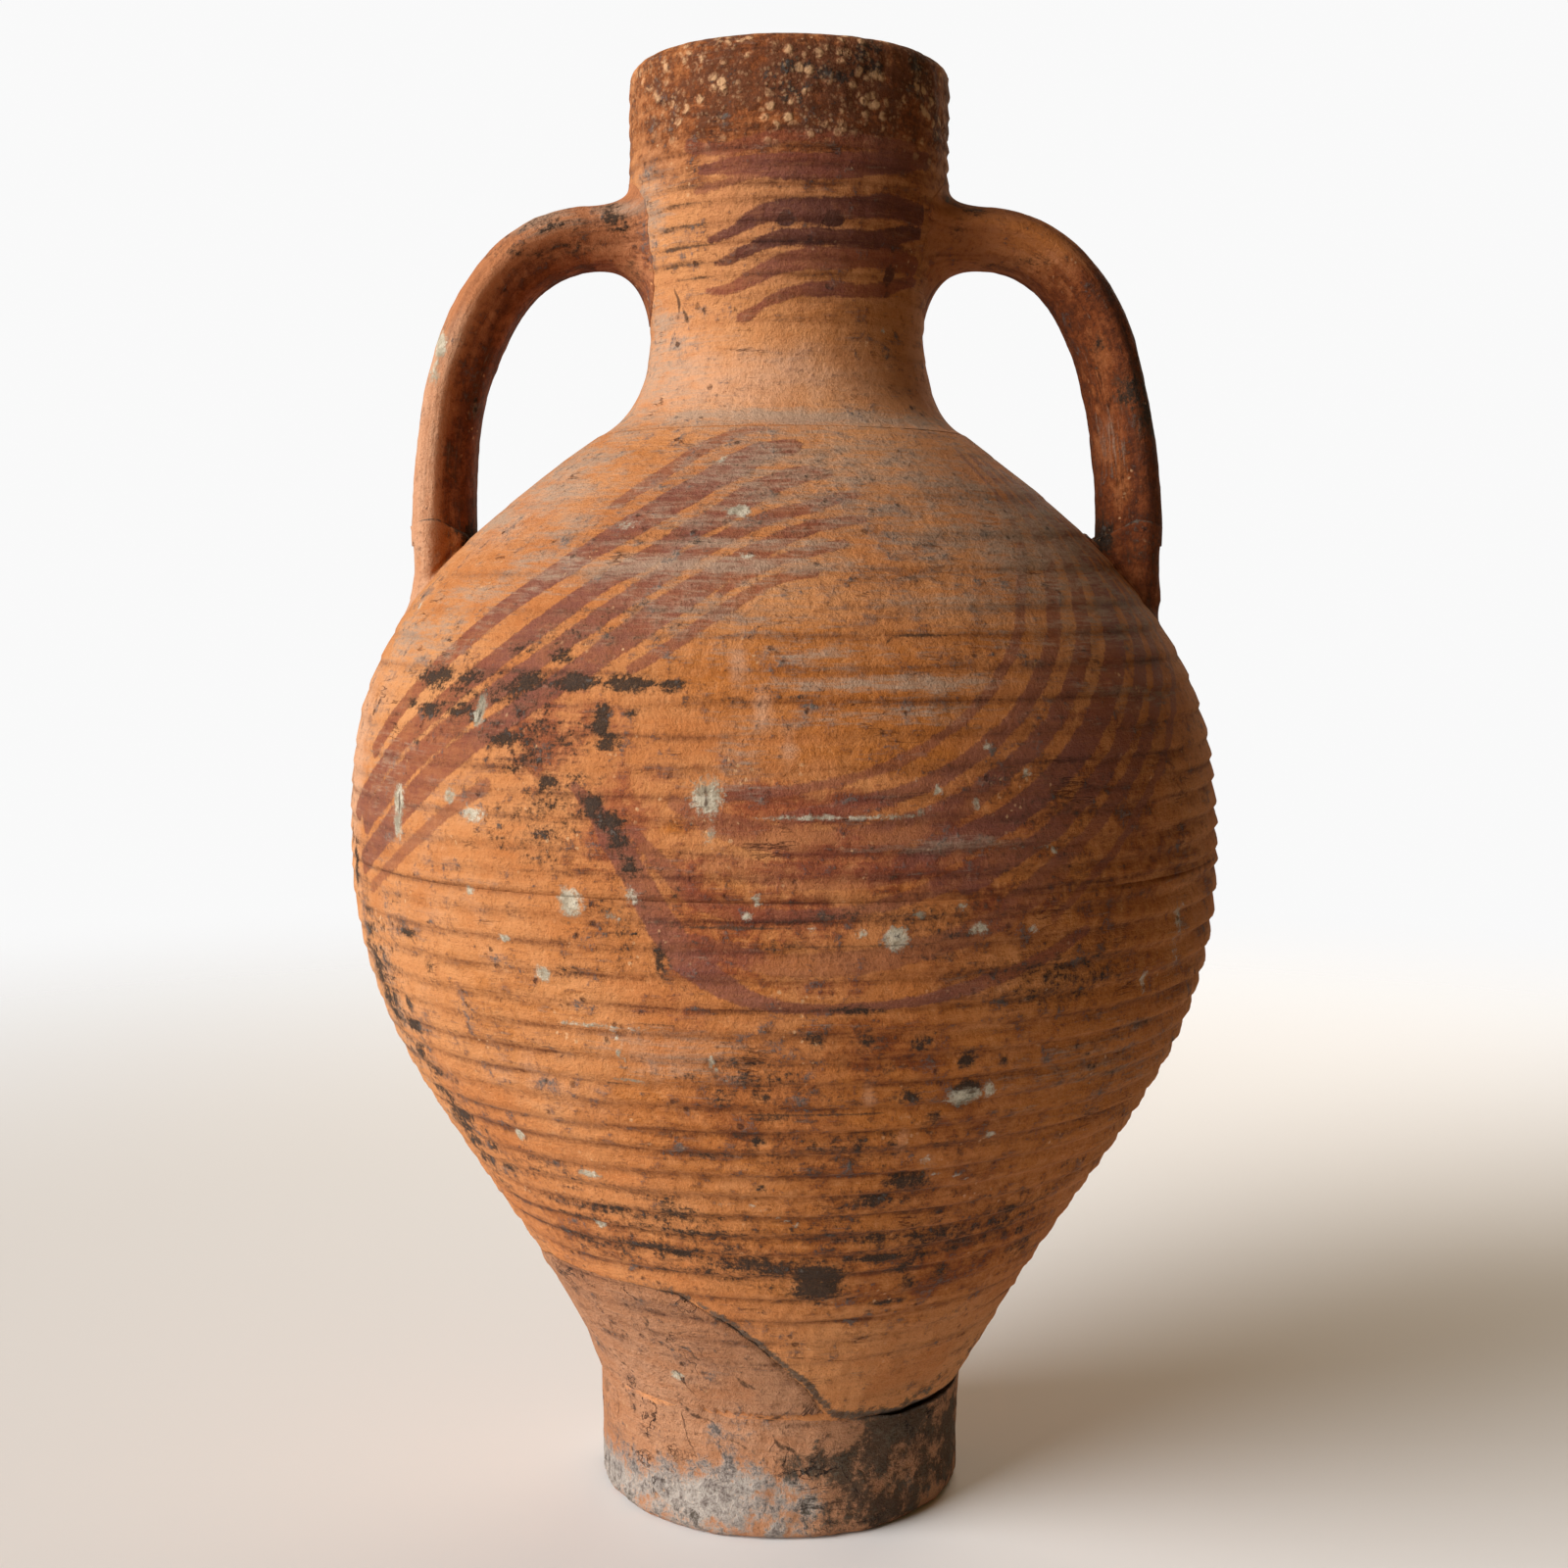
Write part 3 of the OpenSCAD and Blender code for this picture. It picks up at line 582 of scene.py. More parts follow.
# Broad darkening of the clay's colour: partly stains from handling, smoke and damp, partly painted
# shade on the right of the belly and shoulder, the side away from the key light
SHADE = [
    (10, 192, 26, 14, 0.7), (-6, 168, 26, 18, 0.55), (22, 166, 20, 18, 0.5),
    (-38, 118, 42, 13, 0.6),
    (6, 305, 34, 10, 0.4), (10, 238, 50, 30, 0.3), (6, 150, 40, 40, 0.42), (26, 106, 40, 14, 0.6),
    (-20, 236, 22, 22, 0.3), (-46, 150, 20, 20, 0.35), (20, 142, 40, 14, 0.45),
    (-50, 75, 22, 26, 0.3),
    (46, 262, 55, 60, 0.45), (20, 232, 55, 24, 0.45), (0, 115, 70, 14, 0.5), (35, 112, 46, 18, 0.5),
    (-5, 150, 60, 30, 0.3), (24, 352, 55, 30, 0.45), (-14, 350, 44, 24, 0.4),
    (5, 500, 80, 23, 1.35),
    (30, 500, 44, 24, 1.1), (-60, 508, 40, 12, 0.4), (45, 470, 30, 34, 0.5),
    (0, 490, 60, 8, 0.4), (120, 505, 60, 16, 0.6),
    (180, 505, 70, 16, 0.6), (-120, 508, 60, 12, 0.5), (-30, 130, 36, 10, 0.35),
    (-56, 170, 14, 40, 0.35), (-66, 225, 12, 40, 0.4), (160, 230, 90, 70, 0.3),
    (-36, 292, 30, 14, 0.3), (60, 320, 40, 60, 0.35), (110, 260, 60, 80, 0.35),
    (180, 120, 90, 20, 0.4), (-120, 120, 70, 16, 0.35), (30, 180, 60, 30, 0.25),
]
# Fine dark scratches and cracks, as (angle, height, width)
SCRATCHES = [
    [(-55, 464, 0.5), (-45, 464.5, 1.3), (-33, 464.6, 1.0), (-22, 464.2, 0.4)],
    [(-56, 457, 0.5), (-46, 457.5, 1.5), (-34, 457.5, 1.2), (-24, 457.2, 0.5)],
    [(-58, 450.5, 0.6), (-47, 451, 1.4), (-36, 451.2, 1.1), (-27, 451, 0.5)],
    [(-57, 445, 0.6), (-48, 445.6, 1.5), (-38, 445.6, 1.2), (-25, 445.4, 0.4)],
    [(-54, 470, 0.4), (-42, 470.4, 1.0), (-28, 470, 0.4)],
    [(-50, 440.6, 0.4), (-40, 440.6, 1.0), (-30, 440.4, 0.4)],
    [(-52, 438, 0.5), (-50, 434, 1.9), (-50.5, 430, 0.6)],
    [(-48, 431, 0.5), (-46, 428, 2.0), (-45, 425.5, 0.5)],
    [(-28, 392, 1.2), (-26.5, 391.6, 1.4)],
    [(-8.6, 275.2, 1.0), (-8.2, 272, 1.6), (-8.4, 269.4, 0.8)],
    [(-53, 268, 1.0), (-52.8, 264, 1.6), (-53, 260, 0.8)],
    [(-38.4, 299, 0.6), (-38.2, 296, 1.1), (-38.5, 293, 0.6)],
    [(21.6, 178.4, 1.6), (23.6, 177.2, 2.2)],
    [(-20, 200.6, 0.5), (-15, 201.2, 1.0), (-11, 200.4, 0.6)],
    [(-23, 180.4, 0.5), (-16, 179.6, 0.9), (-8, 179.8, 0.8), (-2, 180.2, 0.4)],
    [(-8, 172, 0.4), (2, 171.6, 1.0), (12, 171.8, 0.5)],
    [(14, 234.6, 0.4), (22, 235.2, 1.2), (31, 234.8, 0.6)],
    [(0, 227, 0.4), (8, 226.6, 1.1), (17, 226.8, 0.5)],
    [(-14, 233, 0.5), (-6, 232.6, 1.0), (2, 232.8, 0.4)],
    [(8, 216.8, 0.4), (18, 217, 1.1), (30, 216.6, 0.5)],
    [(-44, 190.4, 0.4), (-34, 190.2, 0.9), (-24, 190.4, 0.4)],
    [(13, 317, 0.6), (15, 319.2, 1.0), (19, 319.6, 1.2), (23, 319, 0.6)],
    [(-36, 86, 0.6), (-33, 83, 1.3), (-34, 79, 1.1), (-31, 76, 0.6)],
    [(-48, 80, 0.5), (-46, 76, 1.2), (-43, 74, 1.0), (-42, 70, 0.5)],
    [(-27, 74, 0.5), (-24, 72.5, 1.2), (-23, 69, 1.0), (-20, 68, 0.5)],
    [(-57, 62, 0.6), (-52, 58, 1.4), (-47, 55, 1.1), (-43, 51, 0.6)],
    [(-31, 49, 0.8), (-28, 45, 1.6), (-24, 43, 1.3), (-20, 42, 0.7)],
    [(-13, 63, 0.7), (-11, 60, 1.8), (-8.5, 58.5, 1.2)],
    [(-7, 46, 0.6), (-3, 45, 1.3), (0, 47, 1.1), (2, 50, 0.6)],
    [(-2, 39, 0.7), (0, 35, 1.6), (4, 33, 1.4), (6, 29, 0.8)],
    [(-16, 36, 0.6), (-12, 35, 1.2), (-9, 32, 0.8)],
]
MORTAR = [
    (-60, 8, 40, 9, 1.1), (-25, 12, 30, 11, 1.2), (-12, 20, 16, 8, 1.0), (2, 18, 10, 8, 0.9),
    (10, 12, 6, 6, 0.9), (0, 4, 10, 5, 0.9), (-40, 17, 20, 6, 0.6), (-100, 8, 60, 9, 1.0),
    (-150, 7, 50, 8, 0.9), (160, 9, 50, 9, 0.8), (110, 7, 40, 7, 0.6), (44, 12, 3, 8, 0.6),
    (-8, 43, 7, 4, 0.4), (-20, 40, 6, 5, 0.35), (60, 6, 12, 4, 0.5),
]
GRIME = [
    (38, 36, 20, 8, 1.2), (30, 30, 12, 14, 1.0), (52, 24, 24, 22, 0.8), (24, 14, 12, 14, 0.9),
    (3, 26, 6, 6, 0.9), (12, 27, 8, 8, 0.9), (66, 20, 16, 24, 1.0), (90, 22, 26, 22, 0.9),
    (-6, 31, 6, 3, 0.5), (-55, 4, 20, 3, 0.6), (20, 22, 8, 10, 0.9), (34, 6, 14, 6, 0.9),
    (120, 26, 24, 12, 0.5), (-30, 6, 8, 4, 0.6), (4, 6, 5, 3, 0.5), (36, 8, 22, 8, 1.0),
    (14, 10, 10, 8, 0.7),
]


def patches(theta, z, spots):
    """The strongest of a list of soft patches at each place."""
    r = np.maximum(radius_at(z), 40)
    best = np.zeros(len(z))
    for angle, height, half_length, half_height, strength in spots:
        along = np.radians(near(theta, angle)) * r / half_length
        up = (z - height) / half_height
        best = np.maximum(best, strength * np.exp(-0.7 * (along ** 2 + up ** 2)))
    return best


def back_patches(spots, seed, share=0.7):
    """The front's patches again on the back, each moved a little."""
    rng = np.random.RandomState(seed)
    for angle, height, length, tall, strength in spots:
        if abs(angle) < 85 and rng.uniform() < share:
            yield (180 - angle + rng.uniform(-12, 12), height + rng.uniform(-9, 9),
                   length * rng.uniform(0.7, 1.3), tall * rng.uniform(0.8, 1.2), strength)


def paint_wall(theta, z, outside):
    """All painted fields for places on the thrown walls."""
    fields = {}
    places = on_jar(theta, z)
    depth, tone = paint_slip(places, theta)
    fields["slip"], fields["slip_tone"] = depth, tone
    for name, spots, seed in (("soot", SOOT, 1), ("lime", LIME, 2), ("haze", HAZE_AND_PAINTED_LIGHT, 3),
                              ("redness", REDNESS, 4), ("ochre", OCHRE, 5), ("pale", PALE_AND_PAINTED_LIGHT, 6),
                              ("crust", CRUST, 7), ("shade", SHADE, 8)):
        spots = list(spots)
        if name not in ("crust", "shade"):
            spots += list(back_patches(spots, seed))
        fields[name] = patches(theta, z, spots)
    for line in WIPED:
        bare = np.clip(0.3 + 0.35 * stroke_on_jar(places, theta, line), 0, 1)
        for name, left in (("soot", 0.2), ("shade", 0.35), ("redness", 0.5), ("haze", 0.5)):
            fields[name] *= 1 - (1 - left) * bare
        fields["ochre"] = np.maximum(fields["ochre"], 0.6 * bare)
    for line in LIME_LINES:
        edge = stroke_on_jar(places, theta, line)
        fields["lime"] = np.maximum(fields["lime"], np.clip(0.35 + 0.6 * edge, 0, 0.75))
    scratch = np.full(len(z), -5.0)
    for line in SCRATCHES:
        scratch = np.maximum(scratch, stroke_on_jar(places, theta, line))
    fields["scratch"] = np.maximum(scratch, -5.0)
    fields["mortar"] = patches(theta, z, MORTAR)
    fields["grime"] = patches(theta, z, GRIME)
    _, fields["groove"] = relief(theta, z)
    for name, value in fields.items():
        empty = {"slip": -50.0, "scratch": -5.0}.get(name, 0.0)
        fields[name] = np.where(outside > 0.5, value, empty)
    edge, crack = seam_at(theta)
    fields["crevice"] = outside * crack * np.exp(-((edge + 1.0 - z) / 1.9) ** 2)
    fields["inside"] = 1.0 - outside
    return fields


# ---------------------------------------------------------------- meshes

def make_piece(name, places, quads, triangles, fields, grain):
    """A smooth-shaded mesh from places in mm, with one float attribute per painted field."""
    mesh = bpy.data.meshes.new(name)
    mesh.vertices.add(len(places))
    mesh.vertices.foreach_set("co", (places * MM).astype(np.float32).ravel())
    corners = np.concatenate([quads.ravel(), triangles.ravel()])
    sizes = np.concatenate([np.full(len(quads), 4), np.full(len(triangles), 3)])
    starts = np.concatenate([[0], np.cumsum(sizes)[:-1]])
    mesh.loops.add(len(corners))
    mesh.loops.foreach_set("vertex_index", corners.astype(np.int32))
    mesh.polygons.add(len(sizes))
    mesh.polygons.foreach_set("loop_start", starts.astype(np.int32))
    mesh.polygons.foreach_set("loop_total", sizes.astype(np.int32))
    mesh.polygons.foreach_set("use_smooth", np.ones(len(sizes), bool))
    mesh.update(calc_edges=True)
    mesh.validate()
    for field, values in fields.items():
        layer = mesh.attributes.new(field, "FLOAT", "POINT")
        layer.data.foreach_set("value", values.astype(np.float32))
    layer = mesh.attributes.new("grain", "FLOAT_VECTOR", "POINT")
    layer.data.foreach_set("vector", (grain * MM).astype(np.float32).ravel())
    piece = bpy.data.objects.new(name, mesh)
    bpy.context.scene.collection.objects.link(piece)
    return piece


def grid_quads(rows, columns, wrap_rows):
    """Quads over a grid that closes round its columns, and round its rows if asked."""
    j = np.arange(rows if wrap_rows else rows - 1)[:, None]
    i = np.arange(columns)[None, :]
    up, over = (j + 1) % rows, (i + 1) % columns
    quads = np.stack([j * columns + i, j * columns + over, up * columns + over,
                      up * columns + i], axis=-1)
    return quads.reshape(-1, 4)


def stretch_round(places):
    """Texture space in which patterns run round the jar, as throwing lines do."""
    return places * np.array([0.12, 0.12, 1.0])


SEGMENTS = 600
NO_TRIANGLES = np.zeros((0, 3), int)
# Share of the outside's relief that shows on the inside
INSIDE_RELIEF = 0.25


def round_the_jar(theta, radius, z):
    """Places at angles, radii and heights round the jar's wandering axis."""
    a = np.radians(theta)
    return np.column_stack([radius * np.sin(a) + axis_shift(z), -radius * np.cos(a), z])


def fans(rows, columns, low, high):
    """Triangles that close a grid's first row at vertex low and its last at vertex high."""
    i = np.arange(columns)
    over, top = (i + 1) % columns, (rows - 1) * columns
    return np.vstack([np.column_stack([over, i, np.full(columns, low)]),
                      np.column_stack([top + i, top + over, np.full(columns, high)])])


def with_ends(fields):
    """The painted fields with a value for each of a grid's two end places."""
    return {name: np.append(values, [values[0], values[-1]]) for name, values in fields.items()}


def turned_piece(name, profile, poles):
    """A thrown piece. profile rows are (radius, height, outside share); with poles, its
    first and last rows are closed at the axis, and without them the profile is a loop."""
    rows, n = len(profile), SEGMENTS
    r, z, share = (np.repeat(profile[:, k], n) for k in range(3))
    t = np.tile(np.linspace(-180, 180, n, endpoint=False), rows)
    lift, _ = relief(t, z)
    lumps = np.clip(patches(t, z, CRUST), 0, 1)
    lift = lift + 0.35 * lumps * layered_noise(on_jar(t, z), 3.6, 43, 2)
    places = round_the_jar(t, r + lift * share + (1 - share) * INSIDE_RELIEF * lift, z)
    fields, triangles = paint_wall(t, z, share), NO_TRIANGLES
    if poles:
        triangles = fans(rows, n, len(places), len(places) + 1)
        places = np.vstack([places, [0, 0, profile[0, 1]], [0, 0, profile[-1, 1]]])
        fields = with_ends(fields)
    return make_piece(name, places, grid_quads(rows, n, not poles), triangles, fields,
                      stretch_round(places))


def profile_of(*stretches):
    """Joins stretches of (points, outside share, spacing) into profile rows."""
    rows = []
    for points, share, spacing in stretches:
        p = evenly(points, spacing)
        rows.append(np.column_stack([p, np.full(len(p), float(share))]))
    rows = np.vstack(rows)
    keep = np.concatenate([[True], np.linalg.norm(np.diff(rows[:, :2], axis=0), axis=1) > 0.05])
    return rows[keep]


OUT_STEP, IN_STEP = 1.85, 14.0
HEEL = 0.15


def bowl_piece():
    """The bowl from its underside round the belly's rim and down the inside to the floor."""
    inside = inner_wall(BOWL, HEEL)
    base_r = FOOT_R - 8
    heel, _ = bezier([(1.5, FLOOR_Z), (base_r / 2, FLOOR_Z),
                      (base_r - WALL - 4, FOOT_H - 5), inside[0]], FINE)
    side = through([(base_r - 0.5, 36), (64, 39.5), (68, 43), (70.2, 47.5)], 6)
    return turned_piece("bowl", profile_of(
        ([(1.5, BASE_RECESS), (base_r - 2, BASE_RECESS)], 0, IN_STEP),
        ([(base_r - 0.5, BASE_RECESS + 1.5), (base_r - 0.5, 36)], 0, IN_STEP),
        (side, 1, OUT_STEP),
        (bezier(BOWL, FINE, 0.015)[0], 1, OUT_STEP),
        (inside[::-1], 0, IN_STEP),
        (heel[::-1], 0, IN_STEP)), poles=True)


def shoulder_piece():
    inside = inner_wall(SHOULDER)
    return turned_piece("shoulder", profile_of(
        (bezier(SHOULDER, FINE)[0], 1, OUT_STEP),
        ([(JOIN_R - 1, NECK_Z + 0.4), (THROAT_R, NECK_Z)], 0, 4),
        (inside[::-1], 0, IN_STEP)), poles=False)


def neck_piece():
    corner = math.pi / 2
    lip_out = [(COLLAR_R - LIP_OUT + LIP_OUT * math.cos(a), LIP_Z - LIP_OUT + LIP_OUT * math.sin(a))
               for a in np.linspace(0, corner, 12)]
    lip_in = [(MOUTH_R + LIP_IN - LIP_IN * math.sin(a), LIP_Z - LIP_IN + LIP_IN * math.cos(a))
              for a in np.linspace(0, corner, 8)]
    bore = WAIST_R - WALL
    dz = MOUTH_Z - WAIST_Z
    swell, _ = bezier([(bore, WAIST_Z), (bore, WAIST_Z + 0.4 * dz),
                       (MOUTH_R, MOUTH_Z - 0.4 * dz), (MOUTH_R, MOUTH_Z)], FINE)
    throat, _ = bezier([(THROAT_R, NECK_Z), (THROAT_R - 0.6 * (THROAT_R - bore), NECK_Z + 7),
                        (bore, WAIST_Z - 18), (bore, WAIST_Z)], FINE)
    return turned_piece("neck_and_collar", profile_of(
        (bezier(FLARE, FINE)[0], 1, 1.2),
        (bezier(SWELL, FINE)[0], 1, 1.2),
        ([(COLLAR_R, COLLAR_Z), (COLLAR_R, LIP_Z - LIP_OUT)], 1, 1.2),
        (lip_out, 1, 1.0),
        (lip_in, 0.6, 1.0),
        ([(MOUTH_R, LIP_Z - LIP_IN), (MOUTH_R, MOUTH_Z)], 0, 3),
        (swell[::-1], 0, 5),
        (throat[::-1], 0, 5)), poles=False)


# Height of the foot's upper edge round the jar: it laps up the bowl on the left
SEAM = [(-180, 56), (-140, 66), (-100, 84), (-60, 98), (-35, 99), (-23, 97), (-15, 88.5),
        (-10, 81.5), (-5, 74), (0, 67), (5, 59.5), (10, 51.5), (15, 45.5), (22, 42.5),
        (45, 41), (70, 40), (110, 43), (150, 50), (180, 56)]
# How sharp that edge is: wiped smooth on the left, cracked open at the front
SEAM_CRACK = [(-180, 0.6), (-110, 0.3), (-60, 0.05), (-35, 0.1), (-22, 0.7), (-10, 1.0),
              (60, 1.0), (140, 0.7), (180, 0.6)]


def seam_at(theta):
    """Height of the foot's upper edge, and how cracked it is, at angles round the jar."""
    t = near(theta, 0)
    edge = np.interp(t, *np.array(SEAM, float).T)
    a = np.radians(theta)
    wave = lattice_noise(np.column_stack([70 * np.sin(a), 70 * np.cos(a), 0 * a]), 9, 61)
    return edge + 0.8 * wave, np.interp(t, *np.array(SEAM_CRACK, float).T)


# The foot's outside, as heights and radii below the bowl
FOOT_OUTSIDE = ([0, 3, 30, FOOT_H], [65.6, 67.0, 67.2, 68.4])
FOOT_TOP_R = 68.4
FOOT_INSIDE_R = FOOT_R - 8
FOOT_UNDERSIDE_R, GROUND_GAP = 63.0, 0.3


def foot_outside(z):
    """The foot's smooth outside, and above it the bowl that the collar laps over."""
    return np.where(z < FOOT_H, np.interp(z, *FOOT_OUTSIDE), np.maximum(radius_at(z), FOOT_TOP_R))


def foot_piece():
    """The foot ring and the collar of clay that laps up the bowl, as one closed loop of rows."""
    n, out_rows, in_rows = SEGMENTS, 52, 12
    theta = np.linspace(-180, 180, n, endpoint=False)
    seam, crack = seam_at(theta)
    rows = [(0 * theta + GROUND_GAP, 0 * theta + FOOT_UNDERSIDE_R, 0.0)]
    for up in np.linspace(0, 1, out_rows + 1):
        z = 2 * GROUND_GAP + up * (seam - 2 * GROUND_GAP)
        proud = (0.9 + 0.5 * crack) * (1 - np.exp(-((seam - z) / 2.2) ** 2)) - 0.5 * crack
        rows.append((z, foot_outside(z) + np.where(z < FOOT_H - 4, 0.0, proud), 1.0))
    for down in np.linspace(0, 1, in_rows + 1)[1:]:
        z = seam - 1.0 - down * (seam - 1.3)
        hidden = np.where(z > FOOT_H, radius_at(z) - 3.0,
                          np.interp(z, [0, 38, FOOT_H], [FOOT_INSIDE_R, FOOT_INSIDE_R, 66]))
        rows.append((z, hidden, 0.0))
    z = np.array([row[0] for row in rows]).ravel()
    r = np.array([row[1] for row in rows]).ravel()
    out = np.repeat([row[2] for row in rows], n)
    t = np.tile(theta, len(rows))
    lift, _ = relief(t, z)
    rugged = 0.9 * layered_noise(on_jar(t, z), 16, 71, 3) * np.interp(z, [0, 20, 60], [1, 0.7, 0.3])
    places = round_the_jar(t, r + out * (0.5 * lift + rugged), z)
    foot_edge = (z < 2) & (out > 0.5)
    places[foot_edge, 2] += 0.4 + 0.4 * lattice_noise(places[foot_edge], 8, 73)
    fields = paint_wall(t, z, out)
    edge, crack = seam_at(t)
    fields["crevice"] = np.where(out > 0.5, crack * np.exp(-((edge - z) / 1.3) ** 2), 0)
    return make_piece("foot_collar", places, grid_quads(len(rows), n, True),
                      NO_TRIANGLES, fields, stretch_round(places))


# ---------------------------------------------------------------- handles

ROOT_Z = COLLAR_Z - 21
ROOT_R = float(radius_at(ROOT_Z))
# Distance from the axis to the strap's straight leg, and how far its line rises past the root
REACH, RISE = 125.5, 13.5
STRAP_T, STRAP_W = 24, 37
PAD_MIDDLE_Z = 336
LANDING_Z = box_mm("handle_right")[0][2]
# Half of the strap's section from its outer face to its inner, as (out, half-width) shares
STRAP_SECTION = [(1.0, 0.0), (0.975, 0.34), (0.88, 0.64), (0.68, 0.86), (0.42, 0.98),
                 (0.18, 1.0), (-0.04, 0.92), (-0.32, 0.79), (-0.63, 0.67), (-0.88, 0.47),
                 (-0.985, 0.22), (-1.0, 0.0)]
AROUND = 128
STRAP_STEP = 1.15
# Where along the strap its root starts to spread, and the rows of that spread
ROOT_RUN, ROOT_ROWS = 17, 20
# How far the root is smoothed out over the neck above, beside and below the strap
ROOT_TOP, ROOT_SIDE, ROOT_BELOW = 7, 10, 21
# The same for the pad on the shoulder
PAD_ABOVE, PAD_SIDE, PAD_BELOW = 3, 5, 9


def evenly_closed(points, count):
    loop = np.vstack([points, points[:1]])
    run = np.concatenate([[0], np.cumsum(np.linalg.norm(np.diff(loop, axis=0), axis=1))])
    s = np.linspace(0, run[-1], count, endpoint=False)
    return np.column_stack([np.interp(s, run, loop[:, 0]), np.interp(s, run, loop[:, 1])])


def strap_outline():
    """The strap's section as (outward, across) shares of its half sizes."""
    half = through(STRAP_SECTION, 10)
    return evenly_closed(np.vstack([half, half[::-1][1:-1] * [1, -1]]), AROUND)


def handle_line():
    """The strap's middle, as (distance from the axis, height), from root to landing."""
    leg = 0.58 * (ROOT_Z - LANDING_Z)
    line, _ = bezier([(ROOT_R, ROOT_Z + 1.5), (ROOT_R + 0.74 * (REACH - ROOT_R), ROOT_Z + RISE),
                      (REACH, LANDING_Z + leg), (REACH, LANDING_Z)], 400)
    return evenly(np.vstack([line, [(REACH, LANDING_Z - 4)]]), STRAP_STEP)


def strap_shift(z):
    """How far each strap leans to the right; at its root it leans with the neck."""
    return np.interp(z, [310, 372, 405, 430, 460, 475], [0.9, 0.9, 0.5, 1.2, 1.5, 1.5])


def strap_thickness(z):
    """The strap is pulled thinner in the middle of its leg."""
    return np.interp(z, [353, 372, 400, 470], [23.4, 22.4, 21.2, 21.8])


def angle_of(places):
    return np.degrees(np.arctan2(places[:, 0], -places[:, 1]))


def onto_wall(places, proud=0.0):
    """Moves places sideways (along X) onto the real outside of the jar."""
    p = places.copy()
    for _ in range(3):
        lift, _ = relief(angle_of(p), p[:, 2])
        r = radius_at(p[:, 2]) + lift + proud
        p[:, 0] = np.sign(p[:, 0]) * np.sqrt(np.maximum(r ** 2 - p[:, 1] ** 2, 1))
    return p


def smooth_onto_wall(last_ring, corner, landing, rows):
    """Rings that carry a sweep round its corner and flat onto the wall (last one inside)."""
    rings = []
    for t in np.linspace(0, 1, rows + 1)[1:]:
        rings.append((1 - t) ** 2 * last_ring + 2 * t * (1 - t) * corner + t ** 2 * landing)
    buried = landing * [0.95, 0.95, 1]
    return rings + [buried]


def spread_from(corner, middle, above, beside, below):
    """Where each corner point's smoothed clay ends on the wall, away from the middle."""
    away = corner[:, 1:] - middle
    away /= np.linalg.norm(away, axis=1)[:, None] + 1e-6
    up = away[:, 1]
    reach = beside + np.where(up > 0, above - beside, below - beside) * np.abs(up) ** 1.5
    ends = corner.copy()
    ends[:, 1:] += away * reach[:, None]
    return onto_wall(ends, 0.12)


def strap_fields(places, side, share, run):
    """Painted fields on a strap or pad, with painted light and shade on its faces: share is 1 on
    its outer face, -1 on its inner.
    """
    fields = {name: np.zeros(len(places)) for name in
              ("slip_tone", "soot", "lime", "haze", "redness", "ochre", "pale", "crust",
               "mortar", "grime", "groove", "inside", "crevice")}
    fields["slip"] = np.full(len(places), -50.0)
    fields["scratch"] = np.full(len(places), -5.0)
    front = np.clip(0.5 - places[:, 1] / 12, 0, 1)
    for name, x, z, half_x, half_z, strength in STRAP_SPOTS[side]:
        gap = ((np.abs(places[:, 0]) - x) / half_x) ** 2 + ((places[:, 2] - z) / half_z) ** 2
        field = strength * np.exp(-0.7 * gap) * (0.25 + 0.75 * front)
        fields[name] = np.maximum(fields[name], field)
    outer = np.clip((share + 0.20) / 0.4, 0, 1)
    inner = np.clip((0.12 - share) / 0.7, 0, 1)
    low = np.clip((450 - places[:, 2]) / 30, 0, 1)
    root = np.clip(1 - run / 40, 0, 1)
    wash = layered_noise(places, 34, 91 if side > 0 else 97, 3)
    if side < 0:
        # Painted light and shade: the left strap's outer face, turned to the key light, is made
        # paler low down, and its inner face, turned away, darker.
        fields["pale"] = np.maximum(fields["pale"], 0.7 * outer * low)
        fields["shade"] = np.clip(0.30 + 0.7 * inner - 0.5 * outer * low + 0.2 * wash, 0, 1)
        fields["redness"] = np.maximum(fields["redness"],
                                       np.clip(0.3 + 0.4 * wash - 0.4 * outer, 0, 1))
    else:
        # Painted shade: the right strap, on the side away from the key light, is darkened all over,
        # most on its outer face and less near the top.
        high = np.clip((places[:, 2] - 435) / 20, 0, 1)
        fields["shade"] = np.clip(1.0 + 0.4 * outer * (1 - high) - 0.5 * high + 0.25 * wash
                                  - 0.7 * fields["ochre"], 0, 1.2)
        fields["ochre"] = np.maximum(fields["ochre"], 0.5)
        fields["redness"] = np.maximum(fields["redness"], np.clip(0.2 + 0.3 * wash, 0, 1))
    fields["shade"] *= 1 - 0.6 * root
    return fields
